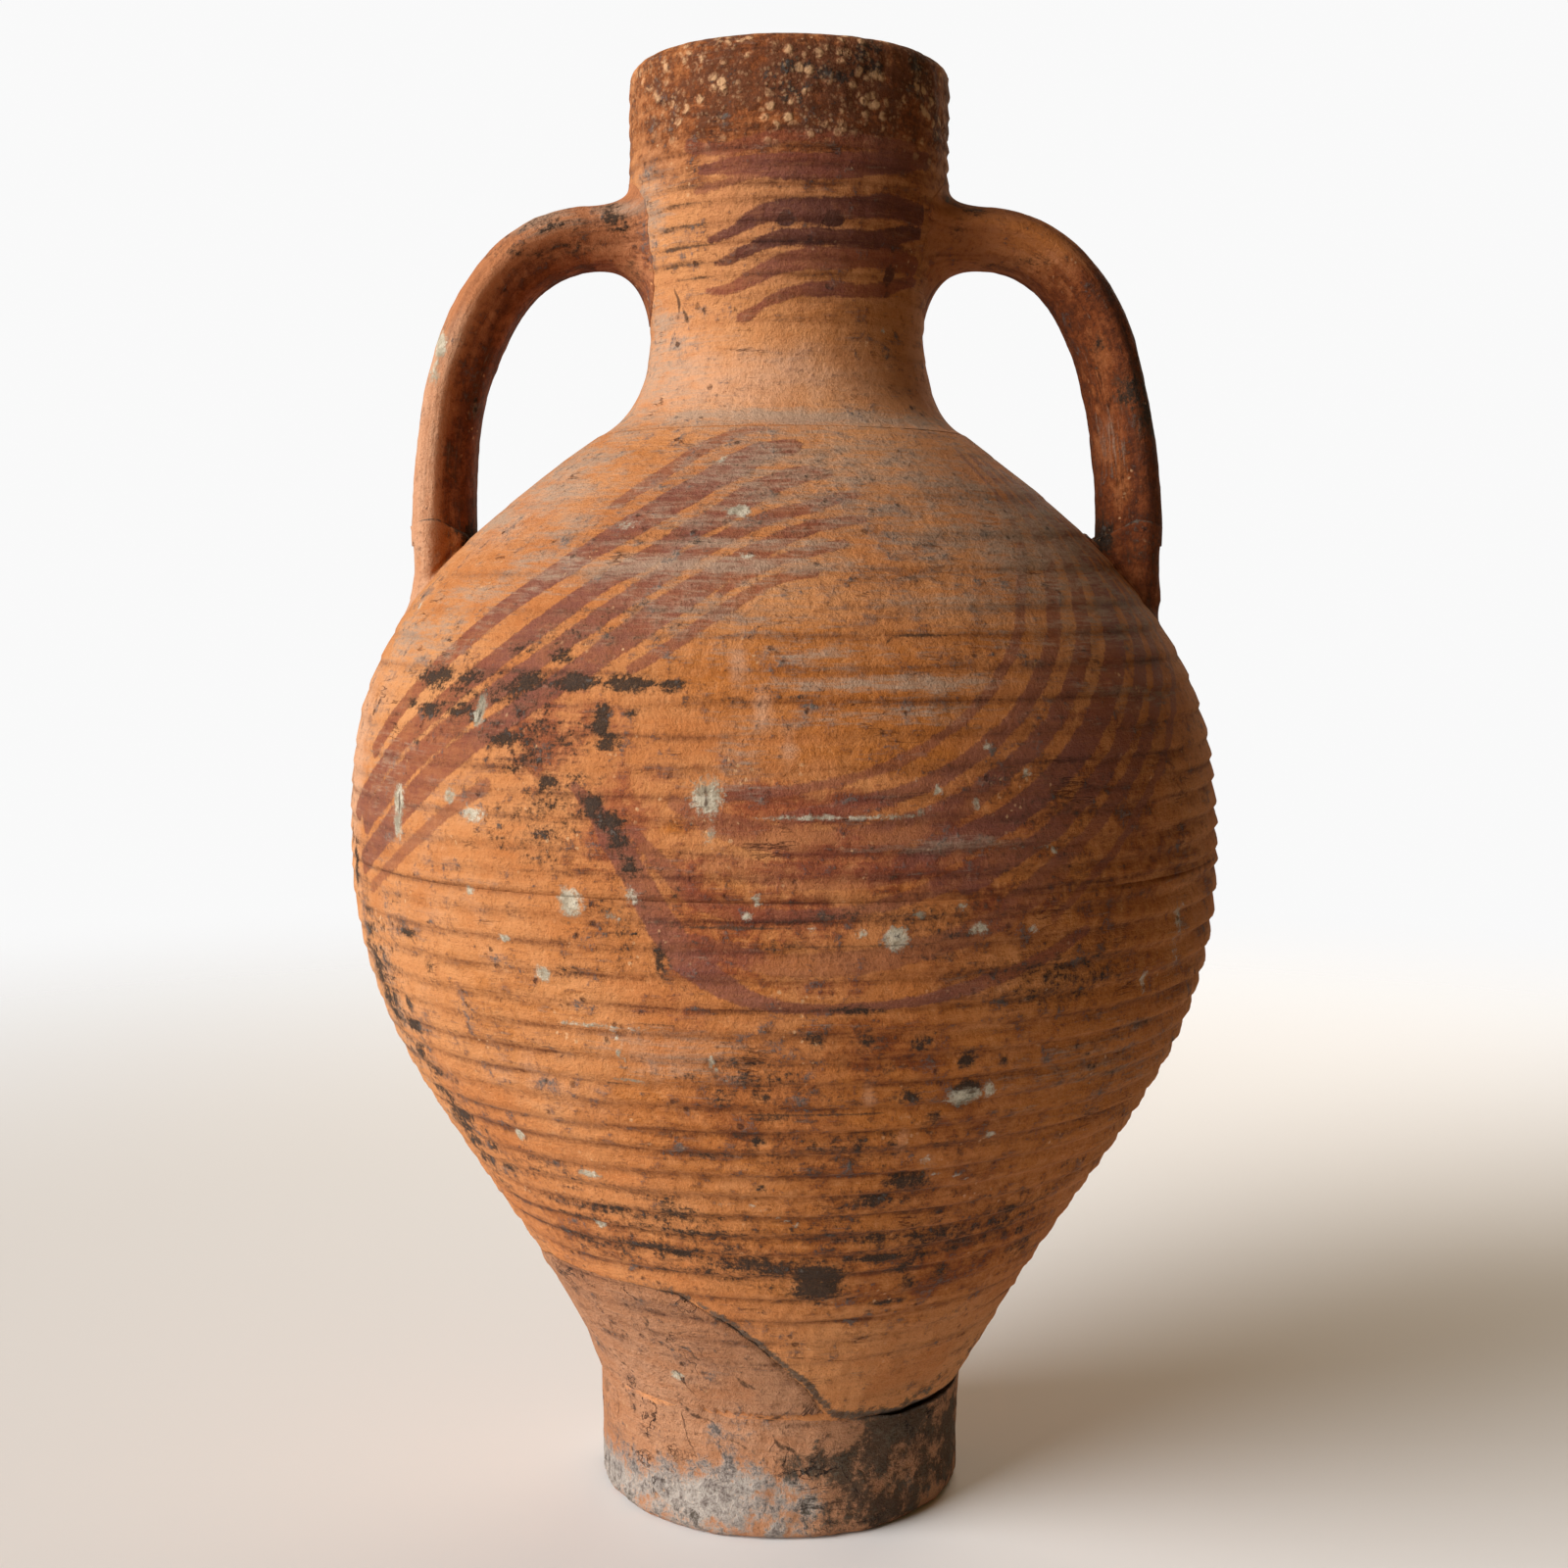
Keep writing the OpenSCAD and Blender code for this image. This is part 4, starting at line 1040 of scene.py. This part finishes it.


# Patches on each strap's front: (field, distance from the axis, height, halves, strength). The soot
# 113 to 115 from the axis at heights 351 to 356 is painted shadow in the gap between the strap's
# inner face and the shoulder
STRAP_SPOTS = {
    -1: [("soot", 84, 463, 12, 5, 0.62), ("soot", 96, 453, 12, 2.5, 0.55),
         ("soot", 63, 466, 4, 6, 0.75), ("soot", 58, 462, 3, 4, 0.7), ("soot", 55, 447, 3, 9, 0.45),
         ("soot", 76, 455, 8, 3, 0.5), ("lime", 124, 421, 2.6, 4.5, 1.0),
         ("lime", 125.5, 411, 2.5, 5, 0.65), ("haze", 60, 468, 10, 3, 0.8),
         ("haze", 90, 466, 14, 6, 0.75), ("redness", 131, 412, 4, 9, 1.0),
         ("redness", 133, 395, 4, 4, 0.9), ("soot", 133, 428, 2, 6, 0.6),
         ("soot", 115, 352, 4, 6, 0.9), ("soot", 113, 356, 3, 4, 0.8), ("haze", 57, 430, 5, 8, 0.8),
         ("soot", 121, 381, 2, 9, 0.35), ("ochre", 122, 340, 12, 14, 1.0)],
    1: [("soot", 124, 404, 6, 6, 0.95), ("soot", 129, 397, 4, 9, 0.8),
        ("haze", 116, 388, 4, 10, 0.4),
        ("soot", 133, 391, 2.0, 5, 0.8), ("soot", 112, 421, 2.5, 3, 0.6),
        ("soot", 115, 351, 4, 7, 0.95), ("soot", 113, 356, 3, 4, 0.9),
        ("ochre", 121, 372, 5, 13, 0.5),
        ("ochre", 122, 430, 10, 14, 0.5), ("ochre", 92, 460, 20, 9, 0.9),
        ("haze", 70, 472, 12, 2.5, 0.5),
        ("soot", 66, 467, 5, 2, 0.75), ("soot", 60, 460, 3, 4, 0.6), ("soot", 60, 478, 4, 2, 0.7),
        ("soot", 128, 350, 5, 5, 0.4), ("soot", 86, 450, 14, 2, 0.5)],
}


def strap_piece(name, side):
    line = handle_line()
    tangent = np.gradient(line, axis=0)
    tangent /= np.linalg.norm(tangent, axis=1)[:, None]
    outward = np.column_stack([-tangent[:, 1], tangent[:, 0]])
    outline = strap_outline()
    u, v = outline[:, 0][None, :], outline[:, 1][None, :]
    along = np.arange(len(line)) * STRAP_STEP
    seed = 81 if side > 0 else 87
    width = 1 + 0.03 * np.sin(along / 31 + side)
    out = u * (strap_thickness(line[:, 1]) / 2)[:, None]
    across = v * (STRAP_W / 2 * width)[:, None]
    flat = np.column_stack([(12 * u + 0 * across).ravel(), across.ravel(),
                            np.repeat(along, AROUND)])
    swell = 0.6 * lattice_noise(flat, 38, seed) + 0.28 * layered_noise(flat, 13, seed + 1, 2)
    flutes = 0.30 * layered_noise(flat * [1, 1, 0.06], 4.5, seed + 2, 2)
    pocks = 0.16 * layered_noise(flat, 3.2, seed + 3, 2)
    lift = (swell + flutes + pocks).reshape(across.shape)
    scale = np.sqrt(out ** 2 + across ** 2) + 1e-6
    out, across = out * (1 + lift / scale), across * (1 + lift / scale)
    x = line[:, 0][:, None] + outward[:, 0][:, None] * out
    z = line[:, 1][:, None] + outward[:, 1][:, None] * out
    rings = np.stack([side * x, across, z], axis=-1)
    start = int(ROOT_RUN / STRAP_STEP)
    last = rings[start]
    slope = tangent[start] * [side, 1]
    corner = last.copy()
    for _ in range(12):
        gap = np.hypot(corner[:, 0], corner[:, 1]) - radius_at(corner[:, 2])
        corner[:, 0] -= 0.8 * gap * slope[0] / abs(slope[0])
        corner[:, 2] = last[:, 2] + (corner[:, 0] - last[:, 0]) * slope[1] / slope[0]
    ends = spread_from(corner, np.array([0, ROOT_Z]), ROOT_TOP, ROOT_SIDE, ROOT_BELOW)
    root = smooth_onto_wall(last, corner, ends, ROOT_ROWS)
    rings = np.vstack([np.array(root[::-1]), rings[start:]])
    rows = len(rings)
    places = rings.reshape(-1, 3)
    run = np.repeat(np.concatenate([np.zeros(len(root)), along[start:]]), AROUND)
    fields = strap_fields(places, side, np.tile(outline[:, 0], rows), run)
    valley = np.clip(-2.6 * flutes.reshape(across.shape), 0, 1)
    lines = np.vstack([np.repeat(valley[start][None], len(root), axis=0), valley[start:]])
    fields["groove"] = 0.8 * lines.ravel()
    around = np.tile(np.arange(AROUND) * 0.8, rows)
    grain = np.column_stack([around, 0 * around, 0.12 * run])
    places[:, 0] += strap_shift(places[:, 2])
    return swept(name, places, rows, fields, grain, side > 0)


def swept(name, places, rows, fields, grain, flip):
    """Makes a piece from rings of places, closing its two ends with fans."""
    quads = grid_quads(rows, AROUND, False)
    closing = fans(rows, AROUND, len(places), len(places) + 1)
    places = np.vstack([places, places[:AROUND].mean(axis=0), places[-AROUND:].mean(axis=0)])
    grain = np.vstack([grain, grain[0], grain[-1]])
    if flip:
        quads, closing = quads[:, ::-1], closing[:, ::-1]
    return make_piece(name, places, quads, closing, with_ends(fields), grain)


def pad_piece(name, side):
    """Clay pressed round the strap's lower end and smoothed out over the shoulder."""
    outline = strap_outline()
    u, v = outline[:, 0], outline[:, 1]
    seed = 83 if side > 0 else 89
    feather = np.clip((0.95 - u) / 0.6, 0, 1)
    edge_wave = lattice_noise(np.column_stack([20 * u, 20 * v, 0 * u]), 9, seed)
    top = LANDING_Z + 1.5 + 3.5 * (1 - (u - 0.1) ** 2) - 3 * np.clip(-u, 0, 1) + 0.8 * edge_wave
    shoulder, _ = bezier(SHOULDER, FINE)

    def ring(z, proud):
        x = side * (REACH + u * (STRAP_T / 2 - 0.3 + proud))
        return np.column_stack([x, v * (STRAP_W / 2 + proud), z])

    foot = ring(top, 0.5)
    wall_z = np.interp(-np.hypot(foot[:, 0], foot[:, 1]), -shoulder[:, 0], shoulder[:, 1])
    bend = wall_z + np.minimum(6, 0.5 * np.maximum(top - wall_z, 1))
    rings = [ring(top + 0.6, -1.6), ring(top + 0.2, -0.4)]
    for t in np.linspace(0, 1, 26):
        z = top + t * (bend - top)
        proud = 0.95 * feather * (1 - np.exp(-((top - z + 0.35) / 1.1) ** 2))
        proud = proud - 1.3 * (1 - feather) * np.sin(np.pi * np.clip((top - z) / 26, 0, 1)) + 0.25
        body = ring(z, proud)
        lump = 0.5 * layered_noise(body, 11, seed + 1, 3) * np.clip((top - z) / 4, 0, 1)
        rings.append(ring(z, proud + lump))
    last = rings[-1]
    corner = last.copy()
    corner[:, 2] = wall_z
    ends = spread_from(corner, np.array([0, PAD_MIDDLE_Z]), PAD_ABOVE, PAD_SIDE, PAD_BELOW)
    rings += smooth_onto_wall(last, corner, ends, 12)
    rows = len(rings)
    places = np.vstack(rings)
    fields = strap_fields(places, side, np.tile(u, rows), np.full(len(places), 99.0))
    fields["shade"] = np.clip(fields["shade"] - (0.5 if side < 0 else 0.1), 0, 1)
    # Painted shadow: a dark line in the crevice along the pad's upper edge, where it meets the
    # strap.
    fields["crevice"] = np.tile(feather, rows) * 0.8 * np.exp(
        -((np.tile(top, rows) - places[:, 2] - 0.1) / 0.7) ** 2)
    touching = np.clip((np.tile(wall_z, rows) + 6 - places[:, 2]) / 8, 0, 1)
    places[:, 0] += (1 - touching) * strap_shift(places[:, 2]) \
        + touching * axis_shift(places[:, 2])
    return swept(name, places, rows, fields, places * [1, 1, 0.3], side < 0)


# ---------------------------------------------------------------- materials

# Depth of the surface grain, in metres
BUMP_M = 0.00092


class Graph:
    """Short forms for the shader nodes that the clay uses. Each call returns a socket."""

    def __init__(self, name):
        self.material = bpy.data.materials.new(name)
        self.material.use_nodes = True
        self.tree = self.material.node_tree
        self.shader = self.tree.nodes["Principled BSDF"]

    def put(self, socket, value):
        if isinstance(value, bpy.types.NodeSocket):
            self.tree.links.new(value, socket)
        elif isinstance(value, tuple) and len(value) == 3 and socket.type == "RGBA":
            socket.default_value = (*value, 1)
        else:
            socket.default_value = value

    def node(self, kind, inputs, **settings):
        node = self.tree.nodes.new(kind)
        for name, value in settings.items():
            setattr(node, name, value)
        for name, value in inputs.items():
            self.put(node.inputs[name], value)
        return node

    def place(self):
        return self.node("ShaderNodeTexCoord", {}).outputs["Object"]

    def field(self, name):
        return self.node("ShaderNodeAttribute", {}, attribute_name=name).outputs["Fac"]

    def direction(self, name):
        return self.node("ShaderNodeAttribute", {}, attribute_name=name).outputs["Vector"]

    def math(self, operation, *values):
        return self.node("ShaderNodeMath", dict(enumerate(values)), operation=operation).outputs[0]

    def noise(self, where, scale, detail=4.0, rough=0.6, twist=0.0):
        """Noise about 0, mostly from -1 to 1."""
        fac = self.node("ShaderNodeTexNoise", {
            "Vector": where, "Scale": scale, "Detail": detail, "Roughness": rough,
            "Distortion": twist}).outputs["Fac"]
        return self.math("MULTIPLY_ADD", fac, 4.0, -2.0)

    def dots(self, where, scale, size, ragged=0.0):
        """1 inside dots, one in each cell, with soft edges."""
        cells = self.node("ShaderNodeTexVoronoi", {"Vector": where, "Scale": scale})
        reach = self.sum((cells.outputs["Distance"], 1.0), (ragged, 0.16))
        return self.step(reach, size, 0.5 * size)

    def cracks(self, where, scale, width, twist=0.0):
        """1 along thin wandering lines."""
        return self.step(self.math("ABSOLUTE", self.noise(where, scale, 5, 0.6, twist)),
                         width, 0.2 * width)

    def step(self, value, low, high):
        """0 at low, 1 at high, smooth between."""
        return self.node("ShaderNodeMapRange", {
            "Value": value, "From Min": low, "From Max": high},
            interpolation_type="SMOOTHSTEP").outputs["Result"]

    def sum(self, *terms):
        """Adds (value, factor) terms."""
        total = self.math("MULTIPLY", *terms[0])
        for value, factor in terms[1:]:
            total = self.math("MULTIPLY_ADD", value, factor, total)
        return total

    def times(self, a, b):
        return self.math("MULTIPLY", a, b)

    def cover(self, terms, low, high, most):
        """A layer's share: 0 where the summed terms are at low, most where at high."""
        return self.times(self.step(self.sum(*terms), low, high), most)

    def blend(self, kind, share, under, over):
        node = self.node("ShaderNodeMix", {}, data_type="RGBA", blend_type=kind)
        for index, value in ((0, share), (6, under), (7, over)):
            self.put(node.inputs[index], value)
        return node.outputs[2]

    def mix(self, share, under, over):
        return self.blend("MIX", share, under, over)

    def tint(self, share, under, over):
        return self.blend("MULTIPLY", share, under, over)


CLAY = (0.50, 0.166, 0.041)
CLAY_LIGHT = (0.64, 0.278, 0.100)
PALE_CLAY_AND_LIGHT = (0.66, 0.355, 0.205)
CLAY_OCHRE = (0.44, 0.128, 0.009)
CLAY_RED = (0.275, 0.052, 0.016)
CLAY_BROWN = (0.25, 0.072, 0.017)
SLIP_PURPLE = (0.200, 0.058, 0.038)
SLIP_RED = (0.215, 0.040, 0.016)
SLIP_DARK = (0.085, 0.020, 0.010)
SOOT_BLACK = (0.026, 0.016, 0.010)
SOOT_BROWN = (0.105, 0.050, 0.022)
BLOOM_AND_LIT_GREY = (0.44, 0.30, 0.205)
LIME_WHITE = (0.70, 0.63, 0.48)
LIME_GREY = (0.31, 0.28, 0.20)
MORTAR_LIGHT = (0.54, 0.50, 0.44)
MORTAR_DARK = (0.15, 0.13, 0.12)
GRIME_BLACK = (0.040, 0.026, 0.014)
GRIME_GREEN = (0.125, 0.105, 0.070)
CRUST_BROWN = (0.135, 0.038, 0.010)
CRUST_GRAIN = (0.66, 0.38, 0.19)
FILM_AND_SHADE_BROWN = (0.13, 0.048, 0.014)
SEAM_DIRT_AND_SHADOW = [(0.055, 0.040, 0.028), (0.15, 0.115, 0.085)]
SCRATCH_DARK = (0.075, 0.035, 0.016)
# Tints, which multiply the colour under them
SHADE_TINT = (0.43, 0.250, 0.080)
WORN_TINT = (0.42, 0.29, 0.18)
GROOVE_TINT = (0.24, 0.15, 0.10)
PIT_TINT = (0.18, 0.11, 0.07)
CRACK_TINT = (0.22, 0.13, 0.08)
DUST_TINT = (0.50, 0.43, 0.38)
SPLIT_TINT = (0.10, 0.06, 0.04)
INSIDE_SHADE_TINT = (0.5, 0.42, 0.36)


# Noises that every layer of the clay shares: (name, along the grain, scale, detail, rough, twist)
PATTERNS = [("broad", False, 13, 4, 0.6, 0), ("mottle", False, 75, 5, 0.68, 0.3),
            ("blot", False, 210, 5, 0.7, 0), ("fleck", False, 620, 5, 0.78, 0),
            ("dust", False, 1700, 3, 0.7, 0), ("streak", True, 230, 5, 0.66, 0),
            ("thread", True, 950, 4, 0.7, 0)]


class Patterns:
    """The shared noises of one material, each as an attribute."""

    def __init__(self, g):
        self.where, self.grain = g.place(), g.direction("grain")
        for name, along, scale, detail, rough, twist in PATTERNS:
            where = self.grain if along else self.where
            setattr(self, name, g.noise(where, scale, detail, rough, twist))


def clay_colour(g, n, base, light, ochre_share):
    """The fired clay: patches of hue, wear and a brown film, then the shade field's darkening,
    which is partly painted shade.
    """
    shift = g.cover([(n.broad, 0.8), (n.streak, 0.35), (n.mottle, 0.35)], -0.8, 0.7, 1.0)
    colour = g.mix(shift, base, light)
    dark = g.cover([(n.streak, 0.8), (n.mottle, 0.5), (n.thread, 0.35)], 0.05, 1.1, 0.75)
    colour = g.mix(dark, colour, CLAY_BROWN)
    ochre = g.cover([(g.field("ochre"), 1.0), (n.streak, 0.35), (n.broad, 0.2), (n.blot, 0.15)],
                    0.15, 0.85, ochre_share)
    colour = g.mix(ochre, colour, CLAY_OCHRE)
    red = g.cover([(g.field("redness"), 1.0), (n.mottle, 0.40), (n.streak, 0.30), (n.blot, 0.2)],
                  0.28, 0.95, 0.85)
    colour = g.mix(red, colour, CLAY_RED)
    # Pale clay; on the lit left limb and on the left strap's outer face this is painted light.
    pale = g.cover([(g.field("pale"), 1.0), (n.mottle, 0.25), (n.streak, 0.2)], 0.15, 0.9, 0.85)
    colour = g.mix(pale, colour, PALE_CLAY_AND_LIGHT)
    worn = g.sum((n.blot, 0.60), (n.thread, 0.45), (n.fleck, 0.45), (n.mottle, 0.35))
    colour = g.tint(g.times(g.step(worn, 0.0, 1.0), 0.85), colour, WORN_TINT)
    colour = g.mix(g.times(g.step(worn, -0.15, -1.0), 0.50), colour, light)
    # The brown film is heavier where the shade field is, so part of it is painted shade.
    film = g.cover([(g.field("shade"), 0.75), (n.blot, 0.42), (n.fleck, 0.42), (n.streak, 0.32),
                    (n.mottle, 0.25)], 0.45, 1.15, 0.70)
    colour = g.mix(film, colour, FILM_AND_SHADE_BROWN)
    # Painted shade, together with stains, from the shade field.
    shade = g.cover([(g.field("shade"), 1.0), (n.streak, 0.34), (n.mottle, 0.44), (n.blot, 0.30)],
                    0.05, 1.0, 0.95)
    return g.tint(shade, colour, SHADE_TINT)


def add_slip(g, n, colour):
    """Dark red slip, thin enough for the clay to show through where it was wiped."""
    tone = g.field("slip_tone")
    mask = g.cover([(g.field("slip"), 1.0), (n.fleck, 0.55), (n.mottle, 0.6), (n.thread, 0.35)],
                   -0.2, 0.75, tone)
    worn = g.cover([(n.blot, 0.6), (n.thread, 0.55), (n.broad, 0.4)], 0.95, -0.6, 0.42)
    share = g.math("MINIMUM", g.times(mask, g.sum((worn, 1.0), (0.50, 1.0))), 0.96)
    slip = g.mix(g.step(n.broad, -0.4, 0.5), SLIP_PURPLE, SLIP_RED)
    slip = g.mix(g.step(tone, 0.98, 1.4), slip, SLIP_DARK)
    return g.mix(share, colour, slip), share


def add_bloom(g, n, colour):
    """Grey bloom in streaks, partly painted light towards the lit left limb, and the dark that
    gathers in the grooves.
    """
    bloom = g.cover([(g.field("haze"), 1.0), (n.thread, 0.38), (n.streak, 0.30), (n.blot, 0.15),
                     (n.mottle, 0.15)], 0.10, 0.85, 0.82)
    colour = g.mix(bloom, colour, BLOOM_AND_LIT_GREY)
    groove = g.cover([(n.streak, 0.7), (n.fleck, 0.4)], -0.7, 0.5, g.field("groove"))
    return g.tint(groove, colour, GROOVE_TINT)


def add_soot(g, n, colour):
    """Soot in broken flecks that follow the throwing lines, with a brown halo; on the straps a
    little of it is painted shadow in the gap between each strap's inner face and the shoulder.
    """
    soot = g.sum((g.field("soot"), 0.87), (n.fleck, 0.40), (n.blot, 0.26), (n.streak, 0.30))
    colour = g.mix(g.times(g.step(soot, 0.20, 0.66), 0.62), colour, SOOT_BROWN)
    black = g.step(soot, 0.50, 0.74)
    film = g.mix(g.step(n.dust, -0.2, 0.9), SOOT_BLACK, SOOT_BROWN)
    return g.mix(g.times(black, 0.92), colour, film), black


def add_lime(g, n, colour):
    """Spots and lines of lime, then the dark scratches."""
    lime = g.cover([(g.field("lime"), 0.85), (n.fleck, 0.28), (n.blot, 0.22)], 0.26, 0.62, 0.88)
    bright = g.cover([(n.mottle, 0.6), (n.fleck, 0.4)], -0.25, 0.35, 1.0)
    colour = g.mix(lime, colour, g.mix(bright, LIME_GREY, LIME_WHITE))
    cut = g.cover([(g.field("scratch"), 1.0), (n.fleck, 0.35), (n.blot, 0.35)], -0.35, 0.45, 0.85)
    return g.mix(cut, colour, SCRATCH_DARK)


def add_specks(g, n, colour):
    """Pits, grits, scratches and dark flecks that the whole fabric carries."""
    hole = g.times(g.dots(n.where, 200, 0.25, n.fleck), g.step(n.mottle, 0.1, 0.7))
    colour = g.tint(g.times(hole, 0.85), colour, PIT_TINT)
    light = g.times(g.dots(n.where, 310, 0.22, n.fleck), g.step(g.noise(n.where, 55, 3), 0.2, 0.8))
    colour = g.mix(g.times(light, 0.75), colour, CRUST_GRAIN)
    crack = g.times(g.cracks(n.grain, 150, 0.045), g.step(g.noise(n.where, 42, 3), 0.30, 0.8))
    colour = g.tint(g.times(crack, 0.75), colour, CRACK_TINT)
    fine = g.sum((n.dust, 0.6), (n.fleck, 0.6))
    colour = g.tint(g.times(g.step(fine, 0.1, 1.0), 0.70), colour, DUST_TINT)
    colour = g.blend("SCREEN", g.times(g.step(fine, -0.2, -1.0), 0.16), colour, CRUST_GRAIN)
    return colour, g.sum((hole, 1.0), (crack, 0.7))


def add_crust(g, n, colour):
    """The collar's dark crust with pale grains."""
    crust = g.sum((g.field("crust"), 0.95), (n.blot, 0.34), (n.mottle, 0.40), (n.fleck, 0.30))
    colour = g.mix(g.times(g.step(crust, 0.30, 0.75), 0.85), colour, CRUST_BROWN)
    colour = g.mix(g.times(g.step(crust, 0.88, 1.12), 0.9), colour, SOOT_BLACK)
    ragged = g.sum((n.fleck, 0.8), (n.blot, 0.9))
    large = g.times(g.dots(n.where, 235, 0.50, ragged), g.step(g.noise(n.where, 90, 4), -0.1, 0.4))
    small = g.times(g.dots(n.where, 560, 0.46, n.dust), g.step(n.mottle, -0.5, 0.4))
    grain = g.times(g.math("MAXIMUM", large, g.times(small, 0.4)),
                    g.step(g.field("crust"), 0.15, 0.5))
    return g.mix(g.times(grain, 0.85), colour, CRUST_GRAIN), grain


def add_foot_dirt(g, n, colour):
    """Lime mortar, black-green grime, the dirt that fills the foot's seam, and the painted shadow
    along the pads' upper edges.
    """
    mortar = g.cover([(g.field("mortar"), 0.95), (n.blot, 0.45), (n.mottle, 0.55), (n.fleck, 0.4)],
                     0.26, 0.84, 0.90)
    dark = g.cover([(n.blot, 0.6), (n.fleck, 0.6), (n.mottle, 0.3)], 0.7, -0.5, 1.0)
    colour = g.mix(mortar, colour, g.mix(dark, MORTAR_DARK, MORTAR_LIGHT))
    grime = g.cover([(g.field("grime"), 0.95), (n.blot, 0.34), (n.mottle, 0.45), (n.fleck, 0.25)],
                    0.34, 0.80, 0.88)
    green = g.cover([(n.mottle, 0.6), (n.fleck, 0.8)], -0.1, 0.7, 1.0)
    colour = g.mix(grime, colour, g.mix(green, GRIME_BLACK, GRIME_GREEN))
    dirt_and_shadow_fill = g.cover([(g.field("crevice"), 1.0), (n.blot, 0.42), (n.fleck, 0.30)],
                      0.25, 0.75, 0.88)
    return g.mix(dirt_and_shadow_fill, colour, g.mix(g.step(n.fleck, -0.3, 0.5), *SEAM_DIRT_AND_SHADOW))


def clay_material(name, base=CLAY, light=CLAY_LIGHT, ochre_share=0.8, bump=1.0, cracked=0.0):
    """One fired clay with all its layers. cracked is how deep its drying cracks are."""
    g = Graph(name)
    n = Patterns(g)
    colour = clay_colour(g, n, base, light, ochre_share)
    colour, slip = add_slip(g, n, colour)
    colour = add_bloom(g, n, colour)
    colour, soot = add_soot(g, n, colour)
    colour = add_lime(g, n, colour)
    colour, grains = add_crust(g, n, colour)
    colour = add_foot_dirt(g, n, colour)
    colour, hole = add_specks(g, n, colour)
    if cracked:
        split = g.times(g.cracks(n.where, 58, 0.055, 0.6),
                        g.step(g.noise(n.where, 36, 3), 0.0, 0.6))
        colour = g.tint(g.times(split, 0.9), colour, SPLIT_TINT)
        hole = g.sum((hole, 1.0), (split, cracked))
    # Painted shade: the inside of the jar is darkened.
    colour = g.tint(g.times(g.field("inside"), 0.5), colour, INSIDE_SHADE_TINT)
    g.put(g.shader.inputs["Base Color"], colour)
    g.put(g.shader.inputs["Roughness"], g.sum((n.blot, 0.08), (slip, -0.14), (0.83, 1.0)))
    g.shader.inputs["Specular IOR Level"].default_value = 0.32
    height = g.sum((n.blot, 0.34), (n.streak, 0.18), (n.fleck, 0.20), (n.thread, 0.08),
                   (n.mottle, 0.26), (n.dust, 0.05), (hole, -0.75), (grains, 0.60),
                   (soot, 0.20), (slip, 0.10))
    node = g.node("ShaderNodeBump", {"Height": height, "Strength": 1.0,
                                     "Distance": BUMP_M * bump})
    g.put(g.shader.inputs["Normal"], node.outputs["Normal"])
    return g.material


# ---------------------------------------------------------------- assembly

def finish_piece(piece, node, material):
    piece.data.materials.append(material)
    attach(piece, RIDES_ON)
    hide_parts(node)


def build():
    bpy.context.scene.view_settings.view_transform = "Standard"
    make_camera()
    make_sun("key", -63, 22, 5.25, 46, (0.99, 0.985, 0.99))
    make_panel("back_soft", 160, 25, 1.5, 1.0, 9.0, (1.0, 0.86, 0.70))
    make_world(0.120, (1.0, 0.64, 0.25))
    make_floor()
    body = clay_material("body_earthenware")
    neck = clay_material("neck_earthenware", base=(0.52, 0.20, 0.075), ochre_share=0.6)
    foot = clay_material("foot_earthenware", base=(0.46, 0.185, 0.075), light=(0.56, 0.28, 0.145),
                         ochre_share=0.4, bump=2.0, cracked=1.6)
    strap = clay_material("handle_earthenware", base=(0.42, 0.145, 0.048),
                          light=(0.52, 0.20, 0.080), ochre_share=0.6)
    finish_piece(foot_piece(), "foot", foot)
    finish_piece(bowl_piece(), "lower_body", body)
    finish_piece(shoulder_piece(), "upper_body", body)
    finish_piece(neck_piece(), "neck", neck)
    for word, side in (("left", -1), ("right", 1)):
        finish_piece(strap_piece("strap_" + word, side), "handle_" + word, strap)
        finish_piece(pad_piece("strap_pad_" + word, side), "handle_pad_" + word,
                     strap)


build()
